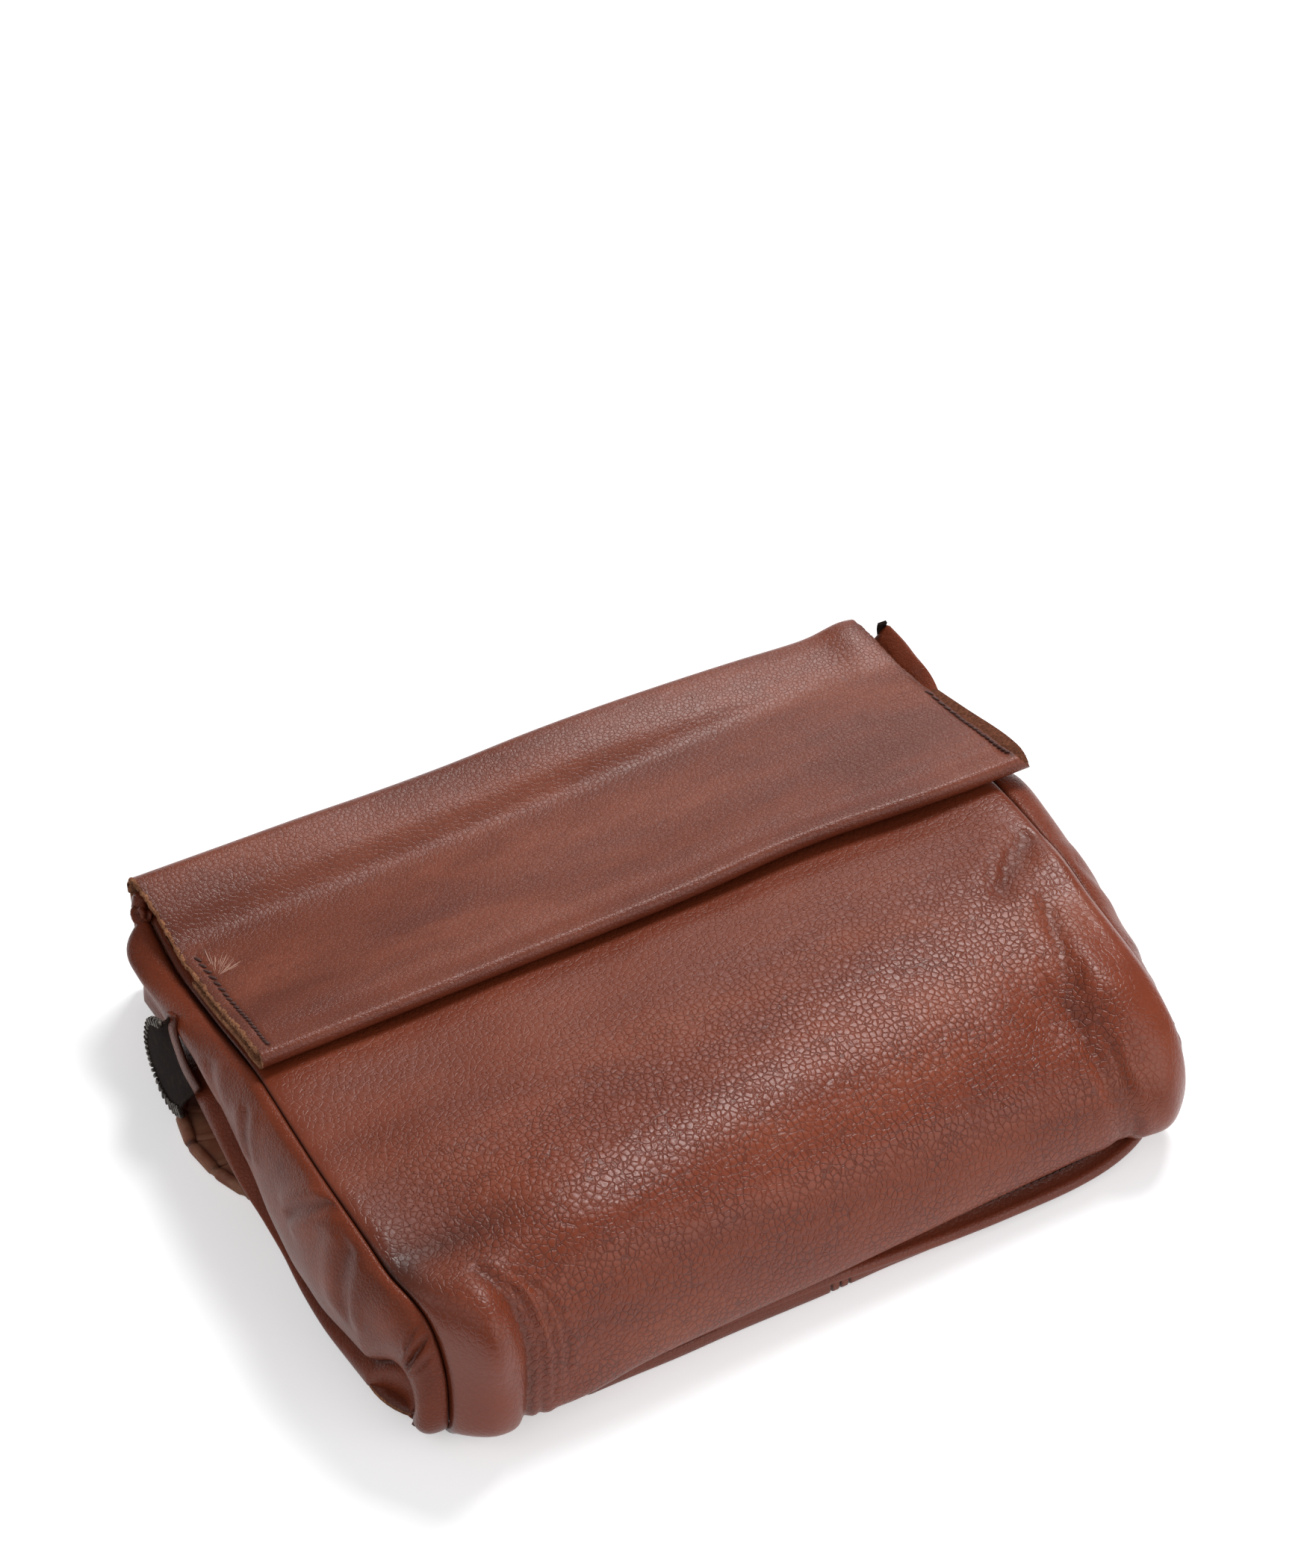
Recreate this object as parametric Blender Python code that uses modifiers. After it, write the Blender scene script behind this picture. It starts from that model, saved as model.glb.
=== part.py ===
"""Leather flap bag with a zipped mouth and a braided strap, lying on its back.

X runs across the bag, +Y to the flap's fold, Z up. The floor is z = 0.
"""

import math

import bmesh
import bpy
from mathutils import Matrix, Vector

MM = 0.001

# Leather, seats and the strap that the bag lies on
LEATHER = 1.8 * MM
SEAT = 0.3 * MM
STRAP_WIDTH = 24 * MM
STRAP_THICKNESS = 4 * MM
STRAP_ROUTE_MM = (
    (0, 18), (-24, 8), (-34, -16), (-37, -44), (-50, -67), (-70, -75),
    (-91, -66), (-106, -42), (-124, -12), (-141, 14), (-149, 38), (-143, 62),
    (-126, 80), (-106, 90),
)
STRAP_ROWS = 66
TAB_LENGTH = 14 * MM
TAB_EXTRA_WIDTH = 3 * MM

# Back panel
BACK_HALF_WIDTH = 150 * MM
BACK_LOW_Y = -111 * MM
BACK_CORNER = 27 * MM
BACK_UNDER = STRAP_THICKNESS + SEAT
BACK_TOP = BACK_UNDER + LEATHER

# Rolled bottom strip and the welt above it
BASE_RADIUS = 3.9 * MM
BASE_FLOOR_GAP = 0.6 * MM
BASE_HALF_LENGTH = 118 * MM
WELT_THICKNESS = 1.5 * MM
WELT_DEPTH = 13.5 * MM
WELT_PROUD = 1.4 * MM
WELT_HALF_LENGTH = 126 * MM
BASE_Y = BACK_LOW_Y - SEAT - BASE_RADIUS
BASE_Z = BASE_FLOOR_GAP + BASE_RADIUS
WELT_UNDER = BASE_Z + BASE_RADIUS + SEAT
WELT_TOP = WELT_UNDER + WELT_THICKNESS

# Mouth: a rolled hem at the front edge, with the zip hanging below it
HEM_RADIUS = 3.5 * MM
HEM_HALF_LENGTH = 147 * MM
MOUTH_Y = 113 * MM
MOUTH_HEIGHT = 47 * MM
PANEL_TOP_Y = MOUTH_Y - HEM_RADIUS - SEAT

# Front panel: outline points (y, z) from the mouth to the edge tucked under, at both seams and the crown
SEAM_HALF_WIDTH = 143 * MM
SEAM_DRAW_IN = 7 * MM
CROWN_FLATNESS = 3
TUCK_HEIGHT = WELT_TOP + SEAT
TUCK_SETBACK = 1.2 * MM
TUCK_Y = BASE_Y + TUCK_SETBACK
FACE_MM = {
    "left": (
        (83, 41), (52, 47), (14, 56), (-20, 57.5), (-55, 61.5), (-88, 61),
        (-108, 53), (-118, 36), (-118, 20),
    ),
    "crown": (
        (83, 46), (52, 50), (14, 57), (-20, 62.5), (-55, 66), (-88, 63),
        (-110, 52), (-121, 36), (-121, 20),
    ),
    "right": (
        (83, 50), (52, 56), (14, 62), (-20, 62.5), (-55, 59), (-86, 54),
        (-104, 46), (-114, 32), (-114, 19),
    ),
}
FRONT_COLUMNS = 16
FRONT_ROWS = 30

# Gussets
GUSSET_BULGE = 8 * MM
BULGE_ROUNDNESS = 0.75
GUSSET_CREASE = 4 * MM
CREASE_AT = 0.5
CREASE_SPREAD = 0.15
CREASE_ENDS_AT = 0.7
GUSSET_FOLD_LENGTH = 40 * MM
CORNER_SHARE = 0.6
CORNER_TURN = math.radians(62)
GUSSET_COLUMNS = 10
GUSSET_ROWS = 26

# Flap: outline points (y, z) of the cover's outer face past the fold, at both ends
FOLD_RADIUS = 6.5 * MM
FLAP_LEFT_X = -141 * MM
FLAP_RIGHT_X = 154 * MM
FLAP_EDGE_Y = 12 * MM
FLAP_EDGE_RADIUS = 3.2 * MM
FLAP_LEFT_MM = ((98, 51.5), (83, 47.5), (52, 53), (30, 59.5))
FLAP_RIGHT_MM = ((98, 57), (83, 58), (52, 63.5), (30, 68))
FLAP_LEFT_EDGE = 64.5 * MM
FLAP_RIGHT_EDGE = 71 * MM
FLAP_HEM_DEPTH = 48 * MM
SPINE_INNER_Y = MOUTH_Y + FOLD_RADIUS
FOLD_HEIGHT = MOUTH_HEIGHT
BACK_EDGE_Y = SPINE_INNER_Y - SEAT
HINGE_Z = BACK_UNDER + LEATHER / 2
FLAP_COLUMNS = 12
FLAP_ROWS = 40
FOLD_SHARE = 0.2
ROLL_SHARE = 0.8
HEM_ROWS = 8

# Zip
ZIP_HALF_LENGTH = 130 * MM
TAPE_THICKNESS = 0.8 * MM
TEETH_THICKNESS = 2.2 * MM
TOOTH_PITCH = 3 * MM
TOOTH_WIDTH = 1.6 * MM
TOOTH_HEIGHT = 1.4 * MM
TEETH_BAR = 1 * MM
ZIP_GAP = 5 * MM
ZIP_Z = 25 * MM
STOP_WIDTH = 3 * MM
SLIDER_LENGTH = 15 * MM
SLIDER_WIDTH = 13 * MM
SLIDER_NOSE = 8 * MM
SLIDER_PLATE = 1 * MM
SLIDER_POST_LENGTH = 6 * MM
SLIDER_POST_CLEARANCE = 0.6 * MM
SLIDER_FROM_END = 18 * MM
SLIDER_X = ZIP_HALF_LENGTH - SLIDER_FROM_END
EYE_RADIUS = 1 * MM
EYE_HEIGHT = 1.5 * MM
PULL_LENGTH = 17 * MM
PULL_WIDTH = 5 * MM
PULL_THICKNESS = 1 * MM
PULL_HOLE_RADIUS = 1.5 * MM
PULL_CUT_DEPTH = 4 * MM

# Zip ends that show: a curl on the left gusset and a stub at the top right
TAIL_Y = 60 * MM
TAIL_Z = 25 * MM
TAIL_OUTER = 18 * MM
TAIL_INNER = 9 * MM
TAIL_THICKNESS = 1.2 * MM
TAIL_START = math.radians(35)
TAIL_END = math.radians(-130)
TAIL_TEETH = 22
TAIL_TOOTH_FROM = 0.25
TAIL_TOOTH_TO = 0.75
FACING_INNER = 5.5 * MM
STUB_WIDTH = 4 * MM
STUB_REACH = 11 * MM
STUB_LENGTH = 28 * MM

# How finely curves are drawn and sampled
CORNER_STEPS = 8
RING_STEPS = 18
PEG_SIDES = 16
SLOPE_STEP = 0.002
STRAP_SLOPE_STEP = 0.004
REACH_SAMPLES = 60
SEARCH_STEPS = 24
WELD_DISTANCE = 0.01 * MM
SHARP_ANGLE = math.radians(40)


def clear_scene():
    for obj in list(bpy.data.objects):
        bpy.data.objects.remove(obj)


def new_collection(name):
    made = bpy.data.collections.new(name)
    bpy.context.scene.collection.children.link(made)
    return made


def new_material(name, colour, roughness, metallic=0.0):
    made = bpy.data.materials.new(name)
    made.use_nodes = True
    shader = made.node_tree.nodes["Principled BSDF"]
    shader.inputs["Base Color"].default_value = (*colour, 1)
    shader.inputs["Roughness"].default_value = roughness
    shader.inputs["Metallic"].default_value = metallic
    return made


clear_scene()
BAG = new_collection("leather_flap_bag")
CUTTERS = new_collection("cutters")
PEBBLED = new_material("pebbled_leather", (0.20, 0.060, 0.032), 0.42)
SMOOTH = new_material("smooth_leather", (0.17, 0.055, 0.032), 0.38)
BRAIDED = new_material("braided_leather", (0.16, 0.065, 0.036), 0.5)
TAPE = new_material("zip_tape", (0.022, 0.013, 0.010), 0.9)
METAL = new_material("dark_zip_metal", (0.10, 0.085, 0.075), 0.35, 1.0)


def add_object(name, data, material, collection=BAG):
    obj = bpy.data.objects.new(name, data)
    data.materials.append(material)
    collection.objects.link(obj)
    return obj


def smooth_shade(mesh):
    mesh.shade_smooth()
    mesh.set_sharp_from_angle(angle=SHARP_ANGLE)


def curve_at(points, share):
    """The point at a share, 0 to 1, of the smooth curve through the points."""
    place = min(max(share, 0.0), 1.0) * (len(points) - 1)
    first = min(int(place), len(points) - 2)
    t = place - first
    b, c = points[first], points[first + 1]
    a = points[first - 1] if first > 0 else 2 * b - c
    d = points[first + 2] if first + 2 < len(points) else 2 * c - b
    square = 2 * a - 5 * b + 4 * c - d
    cube = 3 * b - a - 3 * c + d
    return (2 * b + (c - a) * t + square * t**2 + cube * t**3) / 2


def sheet(name, columns, rows, place, thickness, material):
    """A leather sheet: a grid moved to place(u, v), with u and v from 0 to 1, thickened inwards."""
    mesh = bpy.data.meshes.new(name)
    grid = bmesh.new()
    bmesh.ops.create_grid(grid, x_segments=columns, y_segments=rows, size=1)
    for vertex in grid.verts:
        vertex.co = place((vertex.co.x + 1) / 2, (vertex.co.y + 1) / 2)
    grid.to_mesh(mesh)
    grid.free()
    smooth_shade(mesh)
    obj = add_object(name, mesh, material)
    wall = obj.modifiers.new("thickness", "SOLIDIFY")
    wall.thickness = thickness
    wall.offset = -1
    wall.use_even_offset = True
    return obj


def flat_outline(name, points, thickness, material, collection=BAG):
    """A flat piece: a closed outline in its own XY plane, with its thickness centred on it."""
    curve = bpy.data.curves.new(name, "CURVE")
    curve.dimensions = "2D"
    curve.fill_mode = "BOTH"
    curve.extrude = thickness / 2
    spline = curve.splines.new("POLY")
    spline.points.add(len(points) - 1)
    for point, (x, y) in zip(spline.points, points):
        point.co = (x, y, 0, 1)
    spline.use_cyclic_u = True
    return add_object(name, curve, material, collection)


def arc(centre_x, centre_y, radius, start, end, steps):
    return [
        (
            centre_x + radius * math.cos(start + (end - start) * i / steps),
            centre_y + radius * math.sin(start + (end - start) * i / steps),
        )
        for i in range(steps + 1)
    ]


def rod(name, ends, radius, material):
    curve = bpy.data.curves.new(name, "CURVE")
    curve.dimensions = "3D"
    curve.bevel_depth = radius
    curve.bevel_resolution = 3
    curve.use_fill_caps = True
    spline = curve.splines.new("POLY")
    spline.points.add(len(ends) - 1)
    for point, end in zip(spline.points, ends):
        point.co = (*end, 1)
    return add_object(name, curve, material)


def block(name, low, high, material, collection=BAG):
    mesh = bpy.data.meshes.new(name)
    shape = bmesh.new()
    bmesh.ops.create_cube(shape, size=1)
    low, high = Vector(low), Vector(high)
    for vertex in shape.verts:
        vertex.co = (low + high) / 2 + vertex.co * (high - low)
    shape.to_mesh(mesh)
    shape.free()
    return add_object(name, mesh, material, collection)


def as_mesh(obj):
    """The same object as a mesh, with its caps welded, so that a Boolean can take it."""
    bpy.context.view_layer.update()
    evaluated = obj.evaluated_get(bpy.context.evaluated_depsgraph_get())
    mesh = bpy.data.meshes.new_from_object(evaluated)
    welded = bmesh.new()
    welded.from_mesh(mesh)
    bmesh.ops.remove_doubles(welded, verts=welded.verts, dist=WELD_DISTANCE)
    welded.to_mesh(mesh)
    welded.free()
    made = bpy.data.objects.new(obj.name + "_mesh", mesh)
    made.matrix_world = obj.matrix_world.copy()
    for collection in obj.users_collection:
        collection.objects.link(made)
    name = obj.name
    bpy.data.objects.remove(obj)
    made.name = name
    return made


def combine(obj, other, operation):
    """Joins or cuts obj with other, which becomes a hidden cutter."""
    other.hide_render = True
    other.display_type = "WIRE"
    made = obj.modifiers.new(other.name, "BOOLEAN")
    made.operation = operation
    made.object = other


def hang_on_pivot(name, location, pieces, parent=None):
    """An empty on a joint's axis, which carries the pieces that turn or slide with it."""
    made = bpy.data.objects.new(name, None)
    made.location = location
    BAG.objects.link(made)
    for piece in pieces:
        piece.parent = made
        piece.matrix_parent_inverse = Matrix.Translation(location).inverted()
    if parent:
        made.parent = parent
        made.matrix_parent_inverse = Matrix.Translation(parent.location).inverted()
    return made


# Front panel and gussets

def face_points(side):
    """Outline of the front panel at one seam or at its crown, from the mouth to the tucked edge."""
    middle = [Vector((y * MM, z * MM)) for y, z in FACE_MM[side]]
    return [Vector((PANEL_TOP_Y, MOUTH_HEIGHT)), *middle, Vector((TUCK_Y, TUCK_HEIGHT))]


FACE = {side: face_points(side) for side in FACE_MM}


def seam_half_width(share):
    """Half the front panel's width, drawn in where the panel turns round the bottom corner."""
    turn = max(0.0, (share - CORNER_SHARE) / (1 - CORNER_SHARE))
    return SEAM_HALF_WIDTH - SEAM_DRAW_IN * turn**2


def front_at(u, v):
    share = 1 - v
    across = 2 * u - 1
    seam = curve_at(FACE["left" if across < 0 else "right"], share)
    crown = curve_at(FACE["crown"], share)
    y, z = crown + (seam - crown) * abs(across) ** CROWN_FLATNESS
    return Vector((across * seam_half_width(share), y, z))


def seam_under(side, share):
    """Where the gusset meets the front panel's inner face, just under the seam."""
    ahead = curve_at(FACE[side], share + SLOPE_STEP) - curve_at(FACE[side], share - SLOPE_STEP)
    inward = Vector((-ahead.y, ahead.x)).normalized()
    y, z = curve_at(FACE[side], share) + inward * (LEATHER + SEAT)
    return Vector((seam_half_width(share), y, z))


def back_seam(share):
    """The gusset's lower edge, just outside the back panel's side and part of its round corner."""
    half_width = BACK_HALF_WIDTH + SEAT + LEATHER
    radius = BACK_CORNER + SEAT + LEATHER
    corner_y = BACK_LOW_Y + BACK_CORNER
    z = BACK_UNDER
    if share < CORNER_SHARE:
        return Vector((half_width, PANEL_TOP_Y + (corner_y - PANEL_TOP_Y) * share / CORNER_SHARE, z))
    angle = CORNER_TURN * (share - CORNER_SHARE) / (1 - CORNER_SHARE)
    return Vector((half_width - radius + radius * math.cos(angle), corner_y - radius * math.sin(angle), z))


def gusset_at(side, across, share):
    """A point of a gusset's outer face, given for +X: across runs from the front seam to the back one."""
    start, end = seam_under(side, share), back_seam(share)
    fold = min(1.0, (end - start).length / GUSSET_FOLD_LENGTH)
    bulge = GUSSET_BULGE * fold * math.sin(math.pi * across) ** BULGE_ROUNDNESS
    fade = max(0.0, 1 - share / CREASE_ENDS_AT)
    crease = GUSSET_CREASE * fade * math.exp(-(((across - CREASE_AT) / CREASE_SPREAD) ** 2))
    return start.lerp(end, across) + Vector((bulge - crease, 0, 0))


def gusset_left_at(u, v):
    x, y, z = gusset_at("left", 1 - u, 1 - v)
    return Vector((-x, y, z))


def gusset_right_at(u, v):
    return gusset_at("right", u, 1 - v)


sheet("front_panel", FRONT_COLUMNS, FRONT_ROWS, front_at, LEATHER, PEBBLED)
sheet("gusset_left", GUSSET_COLUMNS, GUSSET_ROWS, gusset_left_at, LEATHER, SMOOTH)
sheet("gusset_right", GUSSET_COLUMNS, GUSSET_ROWS, gusset_right_at, LEATHER, SMOOTH)

# Back panel, bottom strip and welt

inner_x = BACK_HALF_WIDTH - BACK_CORNER
inner_y = BACK_LOW_Y + BACK_CORNER
back_outline = [
    (-BACK_HALF_WIDTH, BACK_EDGE_Y),
    *arc(-inner_x, inner_y, BACK_CORNER, math.pi, 1.5 * math.pi, CORNER_STEPS),
    *arc(inner_x, inner_y, BACK_CORNER, 1.5 * math.pi, 2 * math.pi, CORNER_STEPS),
    (BACK_HALF_WIDTH, BACK_EDGE_Y),
]
back = flat_outline("back_panel", back_outline, LEATHER, SMOOTH)
back.location.z = BACK_UNDER + LEATHER / 2

for name, sign in (("base_roll_left", -1), ("base_roll_right", 1)):
    ends = ((sign * SEAT / 2, BASE_Y, BASE_Z), (sign * BASE_HALF_LENGTH, BASE_Y, BASE_Z))
    rod(name, ends, BASE_RADIUS, SMOOTH)

welt_low_y = BASE_Y - BASE_RADIUS - WELT_PROUD
block(
    "bottom_welt",
    (-WELT_HALF_LENGTH, welt_low_y, WELT_UNDER),
    (WELT_HALF_LENGTH, welt_low_y + WELT_DEPTH, WELT_TOP),
    SMOOTH,
)

# Flap: the spine behind the mouth, the cover folded over it and the layer turned under its edge

spine = block(
    "flap_spine",
    (FLAP_LEFT_X, SPINE_INNER_Y, HINGE_Z + SEAT),
    (FLAP_RIGHT_X, SPINE_INNER_Y + LEATHER, FOLD_HEIGHT - SEAT / 2),
    SMOOTH,
)


def flap_line(side):
    """The cover's outer face at one end, from the top of the fold to the lower edge."""
    points, edge = (FLAP_LEFT_MM, FLAP_LEFT_EDGE) if side == "left" else (FLAP_RIGHT_MM, FLAP_RIGHT_EDGE)
    top = Vector((MOUTH_Y, FOLD_HEIGHT + FOLD_RADIUS + LEATHER))
    return [top, *(Vector((y * MM, z * MM)) for y, z in points), Vector((FLAP_EDGE_Y, edge))]


FLAP = {side: flap_line(side) for side in ("left", "right")}


def cover_line(u, share):
    return curve_at(FLAP["left"], share).lerp(curve_at(FLAP["right"], share), u)


def cover_at(u, v):
    """Outer face of the cover: round the fold, along the bag, then round the lower edge."""
    x = FLAP_LEFT_X + (FLAP_RIGHT_X - FLAP_LEFT_X) * u
    along = 1 - v
    if along < FOLD_SHARE:
        angle = math.pi / 2 * along / FOLD_SHARE
        radius = FOLD_RADIUS + LEATHER
        low = SEAT / 2 * (1 - along / FOLD_SHARE)
        return Vector((x, MOUTH_Y + radius * math.cos(angle), FOLD_HEIGHT + radius * math.sin(angle) + low))
    if along < ROLL_SHARE:
        y, z = cover_line(u, (along - FOLD_SHARE) / (ROLL_SHARE - FOLD_SHARE))
        return Vector((x, y, z))
    angle = math.pi * (along - ROLL_SHARE) / (1 - ROLL_SHARE)
    y, z = cover_line(u, 1)
    return Vector((
        x,
        y - FLAP_EDGE_RADIUS * math.sin(angle),
        z - FLAP_EDGE_RADIUS * (1 - math.cos(angle)),
    ))


def hem_at(u, v):
    """Upper face of the turned-under layer, which closes up to the cover away from the rolled edge."""
    x = FLAP_LEFT_X + (FLAP_RIGHT_X - FLAP_LEFT_X) * u
    y = FLAP_EDGE_Y + LEATHER / 2 + FLAP_HEM_DEPTH * v
    low, high = 0.0, 1.0
    for _ in range(SEARCH_STEPS):
        share = (low + high) / 2
        if cover_line(u, share).x > y:
            low = share
        else:
            high = share
    apart = 2 * FLAP_EDGE_RADIUS - 2 * LEATHER
    gap = SEAT + (apart - SEAT) * (1 - v) ** 2
    return Vector((x, y, cover_line(u, low).y - LEATHER - gap))


cover = sheet("flap_cover", FLAP_COLUMNS, FLAP_ROWS, cover_at, LEATHER, SMOOTH)
cover_hem = sheet("flap_hem", FLAP_COLUMNS, HEM_ROWS, hem_at, LEATHER, SMOOTH)
spine_hinge = hang_on_pivot("flap_spine_hinge", Vector((0, SPINE_INNER_Y - SEAT / 2, HINGE_Z)), [spine])
fold_line = Vector((0, SPINE_INNER_Y + LEATHER, FOLD_HEIGHT))
hang_on_pivot("flap_fold", fold_line, [cover, cover_hem], spine_hinge)

# Mouth hem and zip

rod(
    "mouth_hem",
    ((-HEM_HALF_LENGTH, MOUTH_Y, MOUTH_HEIGHT), (HEM_HALF_LENGTH, MOUTH_Y, MOUTH_HEIGHT)),
    HEM_RADIUS,
    SMOOTH,
)

row_inner = ZIP_GAP / 2
row_outer = row_inner + TOOTH_HEIGHT + TEETH_BAR
for name, low, high in (
    ("zip_tape_front", ZIP_Z + row_outer + SEAT, MOUTH_HEIGHT - HEM_RADIUS - SEAT),
    ("zip_tape_back", BACK_TOP + SEAT, ZIP_Z - row_outer - SEAT),
):
    block(
        name,
        (-ZIP_HALF_LENGTH - STOP_WIDTH, MOUTH_Y - TAPE_THICKNESS / 2, low),
        (ZIP_HALF_LENGTH + STOP_WIDTH, MOUTH_Y + TAPE_THICKNESS / 2, high),
        TAPE,
    )


def comb_outline(count, pitch):
    """A toothed bar along +X, with its teeth pointing to +Y."""
    length = count * pitch
    points = [(length / 2, -TEETH_BAR), (length / 2, 0)]
    for tooth in reversed(range(count)):
        middle = (tooth + 0.5) * pitch - length / 2
        points += [(middle + TOOTH_WIDTH / 2, 0), (middle + TOOTH_WIDTH / 2, TOOTH_HEIGHT)]
        points += [(middle - TOOTH_WIDTH / 2, TOOTH_HEIGHT), (middle - TOOTH_WIDTH / 2, 0)]
    return points + [(-length / 2, 0), (-length / 2, -TEETH_BAR)]


teeth = int(2 * (ZIP_HALF_LENGTH - SEAT) / TOOTH_PITCH)
for name, sign in (("zip_teeth_front", 1), ("zip_teeth_back", -1)):
    row = flat_outline(name, comb_outline(teeth, TOOTH_PITCH), TEETH_THICKNESS, METAL)
    row.rotation_euler.x = -sign * math.pi / 2
    row.location = (0, MOUTH_Y, ZIP_Z + sign * (row_inner + TOOTH_HEIGHT))

teeth_end = teeth * TOOTH_PITCH / 2 + SEAT
half_teeth = TEETH_THICKNESS / 2
block(
    "zip_bottom_stop",
    (teeth_end, MOUTH_Y - half_teeth, ZIP_Z - row_outer),
    (teeth_end + STOP_WIDTH, MOUTH_Y + half_teeth, ZIP_Z + row_outer),
    METAL,
)
for name, low, high in (
    ("zip_top_stop_front", row_inner, row_outer),
    ("zip_top_stop_back", -row_outer, -row_inner),
):
    block(
        name,
        (-teeth_end - STOP_WIDTH, MOUTH_Y - half_teeth, ZIP_Z + low),
        (-teeth_end, MOUTH_Y + half_teeth, ZIP_Z + high),
        METAL,
    )


def slider_plate(name, y, collection):
    outline = [
        (SLIDER_LENGTH / 2, SLIDER_NOSE / 2),
        (0, SLIDER_WIDTH / 2),
        (-SLIDER_LENGTH / 2, SLIDER_WIDTH / 2),
        (-SLIDER_LENGTH / 2, -SLIDER_WIDTH / 2),
        (0, -SLIDER_WIDTH / 2),
        (SLIDER_LENGTH / 2, -SLIDER_NOSE / 2),
    ]
    plate = flat_outline(name, outline, SLIDER_PLATE, METAL, collection)
    plate.rotation_euler.x = math.pi / 2
    plate.location = (SLIDER_X, y, ZIP_Z)
    return as_mesh(plate)


plate_offset = half_teeth + SEAT + SLIDER_PLATE / 2
eye_y = MOUTH_Y + plate_offset + SLIDER_PLATE / 2
post_half = ZIP_GAP / 2 - SLIDER_POST_CLEARANCE
slider = slider_plate("zip_slider", MOUTH_Y + plate_offset, BAG)
combine(slider, slider_plate("slider_inner_plate", MOUTH_Y - plate_offset, CUTTERS), "UNION")
post = block(
    "slider_post",
    (SLIDER_X, MOUTH_Y - plate_offset, ZIP_Z - post_half),
    (SLIDER_X + SLIDER_POST_LENGTH, MOUTH_Y + plate_offset, ZIP_Z + post_half),
    METAL,
    CUTTERS,
)
combine(slider, post, "UNION")

pivot = Vector((SLIDER_X, eye_y, ZIP_Z))


def peg(name, radius, depth, collection):
    """A short round peg standing on the slider's outer plate, along Y."""
    mesh = bpy.data.meshes.new(name)
    shape = bmesh.new()
    bmesh.ops.create_cone(
        shape, cap_ends=True, segments=PEG_SIDES, radius1=radius, radius2=radius, depth=depth
    )
    shape.to_mesh(mesh)
    shape.free()
    obj = add_object(name, mesh, METAL, collection)
    obj.rotation_euler.x = math.pi / 2
    return obj


eye = peg("slider_eye", EYE_RADIUS, EYE_HEIGHT + SLIDER_PLATE, CUTTERS)
eye.location = pivot + Vector((0, (EYE_HEIGHT - SLIDER_PLATE) / 2, 0))
combine(slider, eye, "UNION")

pull_half = PULL_WIDTH / 2
pull_outline = [
    *arc(0, 0, pull_half, 0, math.pi, CORNER_STEPS),
    *arc(0, PULL_WIDTH - PULL_LENGTH, pull_half, math.pi, 2 * math.pi, CORNER_STEPS),
]
pull = flat_outline("zip_pull", pull_outline, PULL_THICKNESS, METAL)
pull.rotation_euler.x = math.pi / 2
pull.location = pivot + Vector((0, SEAT + PULL_THICKNESS / 2, 0))
pull = as_mesh(pull)
hole = peg("pull_hole", PULL_HOLE_RADIUS, PULL_CUT_DEPTH, CUTTERS)
hole.location = pivot + Vector((0, SEAT + PULL_THICKNESS / 2, 0))
combine(pull, hole, "DIFFERENCE")
zip_line = hang_on_pivot("zip_slide", Vector((SLIDER_X, MOUTH_Y, ZIP_Z)), [slider])
hang_on_pivot("zip_pull_swing", pivot, [pull], zip_line)

# Zip ends that show

gusset_reach = max(
    gusset_at("left", across / REACH_SAMPLES, share / REACH_SAMPLES).x
    for across in range(REACH_SAMPLES + 1)
    for share in range(REACH_SAMPLES + 1)
)
tail_x = -(gusset_reach + SEAT + TAIL_THICKNESS / 2)


def ring_outline(inner, outer):
    return [
        *arc(TAIL_Y, TAIL_Z, outer, TAIL_START, TAIL_END, RING_STEPS),
        *arc(TAIL_Y, TAIL_Z, inner, TAIL_END, TAIL_START, RING_STEPS),
    ]


def toothed_ring(count):
    """The curled row of teeth, just outside the curled tape."""
    inner = TAIL_OUTER + SEAT
    bar = inner + TEETH_BAR
    tip = bar + TOOTH_HEIGHT
    turn = (TAIL_END - TAIL_START) / count
    points = []
    for tooth in range(count):
        start = TAIL_START + turn * tooth
        rise = start + turn * TAIL_TOOTH_FROM
        fall = start + turn * TAIL_TOOTH_TO
        points += arc(TAIL_Y, TAIL_Z, bar, start, rise, 1)
        points += arc(TAIL_Y, TAIL_Z, tip, rise, fall, 1)
        points.append((TAIL_Y + bar * math.cos(fall), TAIL_Z + bar * math.sin(fall)))
    return [
        *points,
        (TAIL_Y + bar * math.cos(TAIL_END), TAIL_Z + bar * math.sin(TAIL_END)),
        *arc(TAIL_Y, TAIL_Z, inner, TAIL_END, TAIL_START, count),
    ]


for name, outline, material in (
    ("zip_tail_left", ring_outline(TAIL_INNER, TAIL_OUTER), TAPE),
    ("zip_tail_teeth", toothed_ring(TAIL_TEETH), METAL),
    ("zip_facing_left", ring_outline(FACING_INNER, TAIL_INNER - SEAT), SMOOTH),
):
    curl = flat_outline(name, outline, TAIL_THICKNESS, material)
    curl.rotation_euler = (math.pi / 2, 0, math.pi / 2)
    curl.location.x = tail_x

stub_x = FLAP_RIGHT_X + SEAT
stub_top = FOLD_HEIGHT + STUB_REACH
block(
    "zip_tail_right",
    (stub_x, PANEL_TOP_Y + SEAT, stub_top - STUB_LENGTH),
    (stub_x + STUB_WIDTH, PANEL_TOP_Y + SEAT + TAIL_THICKNESS, stub_top),
    TAPE,
)

# Strap, tucked under the back panel, and the tabs at its ends

half_route = [Vector((x * MM, y * MM)) for x, y in STRAP_ROUTE_MM]
strap_route = [Vector((-p.x, p.y)) for p in reversed(half_route[1:])] + half_route


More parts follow.
